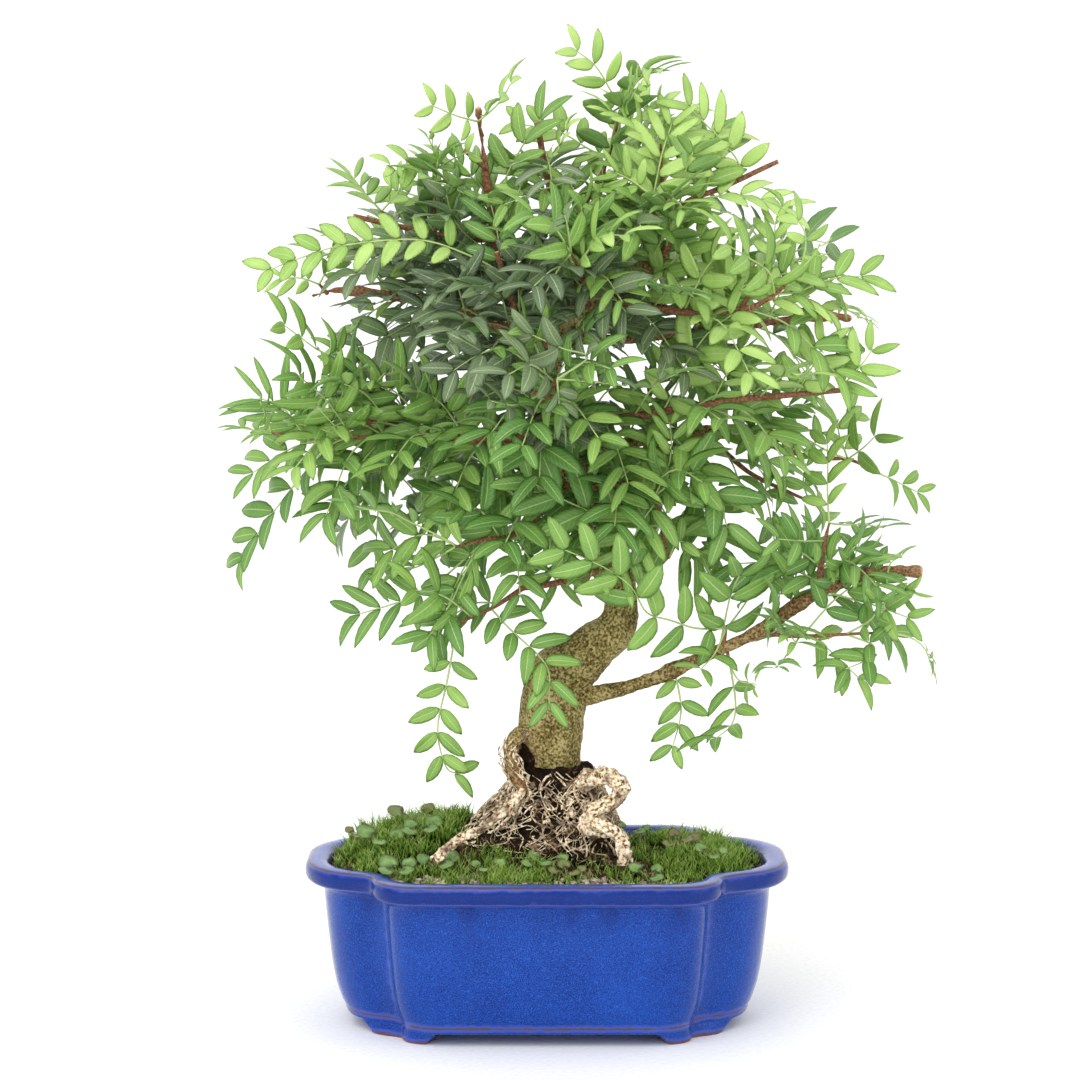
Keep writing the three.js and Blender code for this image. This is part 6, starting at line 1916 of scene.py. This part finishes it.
class BONSAI_OT_foliage(bpy.types.Operator):
    """Grow the leafy stems and every leaflet"""

    bl_idname = "bonsai.foliage"
    bl_label = "Foliage"

    def execute(self, context):
        settings = context.scene.bonsai_foliage
        young = leaf_material(
            "Satin young leaf", settings.young, (settings.mature, settings.ripe), settings.midrib, 0.4)
        old = leaf_material(
            "Leathery old leaf", settings.ripe, (settings.old, settings.oldest), settings.midrib, 0.42)
        form = leaflet_form()
        twigs = []
        sprays = settled_sprays()
        for name, (stem, radius, laid, face) in sprays.items():
            builder = LeafBuilder(form)
            for leaf, bend, seed in laid:
                _, _, pairs, long, wide, *rest = leaf
                roll = (rest[1] if len(rest) > 1 else 0) + bend[1]
                path = rachis_path(stem[leaf[0]], leaf, bend)
                fresh = 0.2 if leaf[0] == len(stem) - 1 else 0.4
                # Leaves are darker round the crown's heart: last year's leaves and painted shade.
                shade = (fresh + 0.35 * darkness(path[-1]) + ripeness(path[-1])
                         + 0.25 * (scatter(seed, 40) - 0.5))
                builder.add_leaf(path, pairs, long * FINE_STRETCH * bend[2],
                                 wide * FINE_SPREAD * bend[2], roll, face, seed, shade)
            is_old = name in OLD_SPRAYS
            leaves = builder.build(name + "_leaflets")
            finish_piece(leaves, old if is_old else young, "old_leaf" if is_old else "leaf", name)
            if len(stem) > 1:
                twigs.append(wood_path(stem, np.linspace(radius, 0.6, len(stem))))
        stems = strands("leafy_twigs", twigs, 1)
        crumbled(stems, 3, 0.2, 8)
        set_values(stems, "thin", 1)
        set_values(stems, "cut", 0)
        finish_piece(stems, bark_material(context.scene.bonsai_tree), "bark")
        self.grow_between(settings, form, sprays, young, old)
        return {"FINISHED"}

    def grow_between(self, settings, form, sprays, young, old):
        """The many leaves between the stems, from the limbs and stems themselves."""
        limbs = limb_paths()
        trunk = limbs.pop("trunk")[0]
        lines = [path for path, _ in limbs.values()]
        lines.append(trunk[BARE_TRUNK:])
        for stem, *_ in sprays.values():
            if len(stem) > 1:
                lines.append(wood_path(stem, np.ones(len(stem)))[0])
        builders = {"crown_leaflets": LeafBuilder(form), "heart_leaflets": LeafBuilder(form)}
        seed = 500
        for line in lines:
            lengths = lengths_along(line)
            for s in np.arange(6, lengths[-1], settings.extra_spacing):
                seed += 1
                leaf = free_leaf(line, lengths, s, seed)
                if leaf is None:
                    continue
                path, pairs, long, wide, face = leaf
                # Leaves in front get less of the heart's painted shade; the darkest are made last year's
                # leaves.
                dark = darkness(path[-1]) * (0.55 if path[-1][1] < -45 else 1)
                is_dark = dark + 0.4 * (scatter(seed, 41) - 0.5) > 0.5
                builder = builders["heart_leaflets" if is_dark else "crown_leaflets"]
                shade = 0.35 + 0.4 * dark + ripeness(path[-1]) + 0.5 * (scatter(seed, 42) - 0.5)
                builder.add_leaf(path, pairs, long, wide, 0, face, seed, shade)
        for name, builder in builders.items():
            is_dark = name == "heart_leaflets"
            piece = builder.build(name)
            finish_piece(piece, old if is_dark else young, "old_leaf" if is_dark else "leaf")


def free_leaf(line, lengths, s, seed):
    """A leaf that grows out of a limb by rule, or None where it would leave the crown."""
    start = point_on(line, lengths, s)
    tangent = unit(point_on(line, lengths, min(s + 2, lengths[-1])) - point_on(line, lengths, s - 2))
    turn = 2.4 * seed
    level = unit(np.cross(tangent, [0.1, 0.2, 1]))
    other = np.cross(tangent, level)
    out = unit(start - CROWN)
    way = level * math.cos(turn) + other * math.sin(turn)
    way = unit(way + 0.35 * tangent + 0.55 * out + np.array([0, -0.15, 0.2]))
    reach = FREE_REACH[0] + FREE_REACH[1] * scatter(seed, 43)
    droop = FREE_DROOP[0] + FREE_DROOP[1] * scatter(seed, 44)
    end = start + way * reach - UP * droop
    if not in_foliage(end) or (ripeness(end) < AIRY_BELOW and scatter(seed, 48) < LEFT_OUT):
        return None
    middle = start + way * reach * 0.5 + UP * 2.5
    face = unit(0.5 * unit(end - CROWN) + np.array([0, -0.5, 0.7]))
    pairs = 3 + int(2.6 * scatter(seed, 45))
    long = FREE_LENGTH[0] + FREE_LENGTH[1] * scatter(seed, 46)
    wide = long * (0.35 + 0.07 * scatter(seed, 47))
    return smooth([start, middle, end], 4), pairs, long, wide, face


class BONSAI_OT_stage(bpy.types.Operator):
    """Set the white sweep, the camera and the soft lights"""

    bl_idname = "bonsai.stage"
    bl_label = "Stage"

    def execute(self, context):
        stage = context.scene.bonsai_stage
        profile = [(SWEEP_FRONT, 0), (SWEEP_BEND, 0)]
        for k in range(1, SWEEP_STEPS + 1):
            turn = math.radians(90 * k / SWEEP_STEPS)
            profile.append((SWEEP_BEND + SWEEP_RADIUS * math.sin(turn), SWEEP_RADIUS * (1 - math.cos(turn))))
        profile.append((SWEEP_BEND + SWEEP_RADIUS, SWEEP_TOP))
        points = [(x, y, z + SOLE) for y, z in profile for x in (-SWEEP_SIDE, SWEEP_SIDE)]
        faces = [(2 * i, 2 * i + 1, 2 * i + 3, 2 * i + 2) for i in range(len(profile) - 1)]
        sweep = mesh_piece("paper_sweep", points, faces)
        sweep.data.materials.append(floor_material(stage))
        only(sweep)
        bpy.ops.object.shade_smooth()
        world = bpy.data.worlds.new("Studio")
        world.use_nodes = True
        sky = world.node_tree.nodes["Background"]
        sky.inputs["Color"].default_value = WHITE
        sky.inputs["Strength"].default_value = 1
        context.scene.view_settings.view_transform = "Standard"
        context.scene.world = world
        powers = (stage.key_power, stage.fill_power, stage.top_power)
        for (name, (where, size)), power in zip(LAMPS.items(), powers):
            light = bpy.data.lights.new(name, "AREA")
            light.size = size * MM
            light.energy = power
            lamp = bpy.data.objects.new(name, light)
            context.scene.collection.objects.link(lamp)
            aim(lamp, place([where])[0], place([LAMP_TARGET])[0])
        camera = bpy.data.cameras.new("Camera")
        eye, middle = place([EYE])[0], place([VIEW_MIDDLE])[0]
        camera.sensor_width = SENSOR
        camera.lens = SENSOR * float(np.linalg.norm(middle - eye)) / (VIEW_WIDTH * MM)
        camera.clip_end = 30
        view = bpy.data.objects.new("Camera", camera)
        context.scene.collection.objects.link(view)
        aim(view, eye, middle)
        context.scene.camera = view
        return {"FINISHED"}


def aim(thing, where, target):
    """Puts a lamp or camera at a place and turns it towards another."""
    where, target = Vector(where), Vector(target)
    thing.location = where
    thing.rotation_euler = (target - where).to_track_quat("-Z", "Y").to_euler()


class BONSAI_PT_panel(bpy.types.Panel):
    """The bonsai's pieces and their settings"""

    bl_label = "Mastic tree bonsai"
    bl_idname = "BONSAI_PT_panel"
    bl_space_type = "VIEW_3D"
    bl_region_type = "UI"
    bl_category = "Bonsai"

    def draw(self, context):
        for title, settings in SETTINGS.items():
            box = self.layout.box()
            box.label(text=title)
            group = getattr(context.scene, settings[0])
            for name in group.bl_rna.properties.keys():
                if name not in ("name", "rna_type"):
                    box.prop(group, name)
        for operator in OPERATORS:
            self.layout.operator(operator.bl_idname)


SETTINGS = {
    "Pot": ("bonsai_pot", BonsaiPotSettings),
    "Ground": ("bonsai_ground", BonsaiGroundSettings),
    "Tree": ("bonsai_tree", BonsaiTreeSettings),
    "Foliage": ("bonsai_foliage", BonsaiFoliageSettings),
    "Stage": ("bonsai_stage", BonsaiStageSettings),
}
OPERATORS = (
    BONSAI_OT_pot, BONSAI_OT_screens, BONSAI_OT_soil, BONSAI_OT_mound, BONSAI_OT_roots,
    BONSAI_OT_moss, BONSAI_OT_weeds, BONSAI_OT_trunk, BONSAI_OT_foliage, BONSAI_OT_stage,
)


def register():
    for name, group in SETTINGS.values():
        bpy.utils.register_class(group)
        setattr(bpy.types.Scene, name, bpy.props.PointerProperty(type=group))
    for each in (*OPERATORS, BONSAI_PT_panel):
        bpy.utils.register_class(each)


def unregister():
    for each in (BONSAI_PT_panel, *reversed(OPERATORS)):
        bpy.utils.unregister_class(each)
    for name, group in SETTINGS.values():
        delattr(bpy.types.Scene, name)
        bpy.utils.unregister_class(group)


def main():
    register()
    deselect()
    bpy.ops.bonsai.pot()
    bpy.ops.bonsai.screens()
    bpy.ops.bonsai.soil()
    bpy.ops.bonsai.mound()
    bpy.ops.bonsai.roots()
    bpy.ops.bonsai.moss()
    bpy.ops.bonsai.weeds()
    bpy.ops.bonsai.trunk()
    bpy.ops.bonsai.foliage()
    bpy.ops.bonsai.stage()


if __name__ == "__main__":
    main()
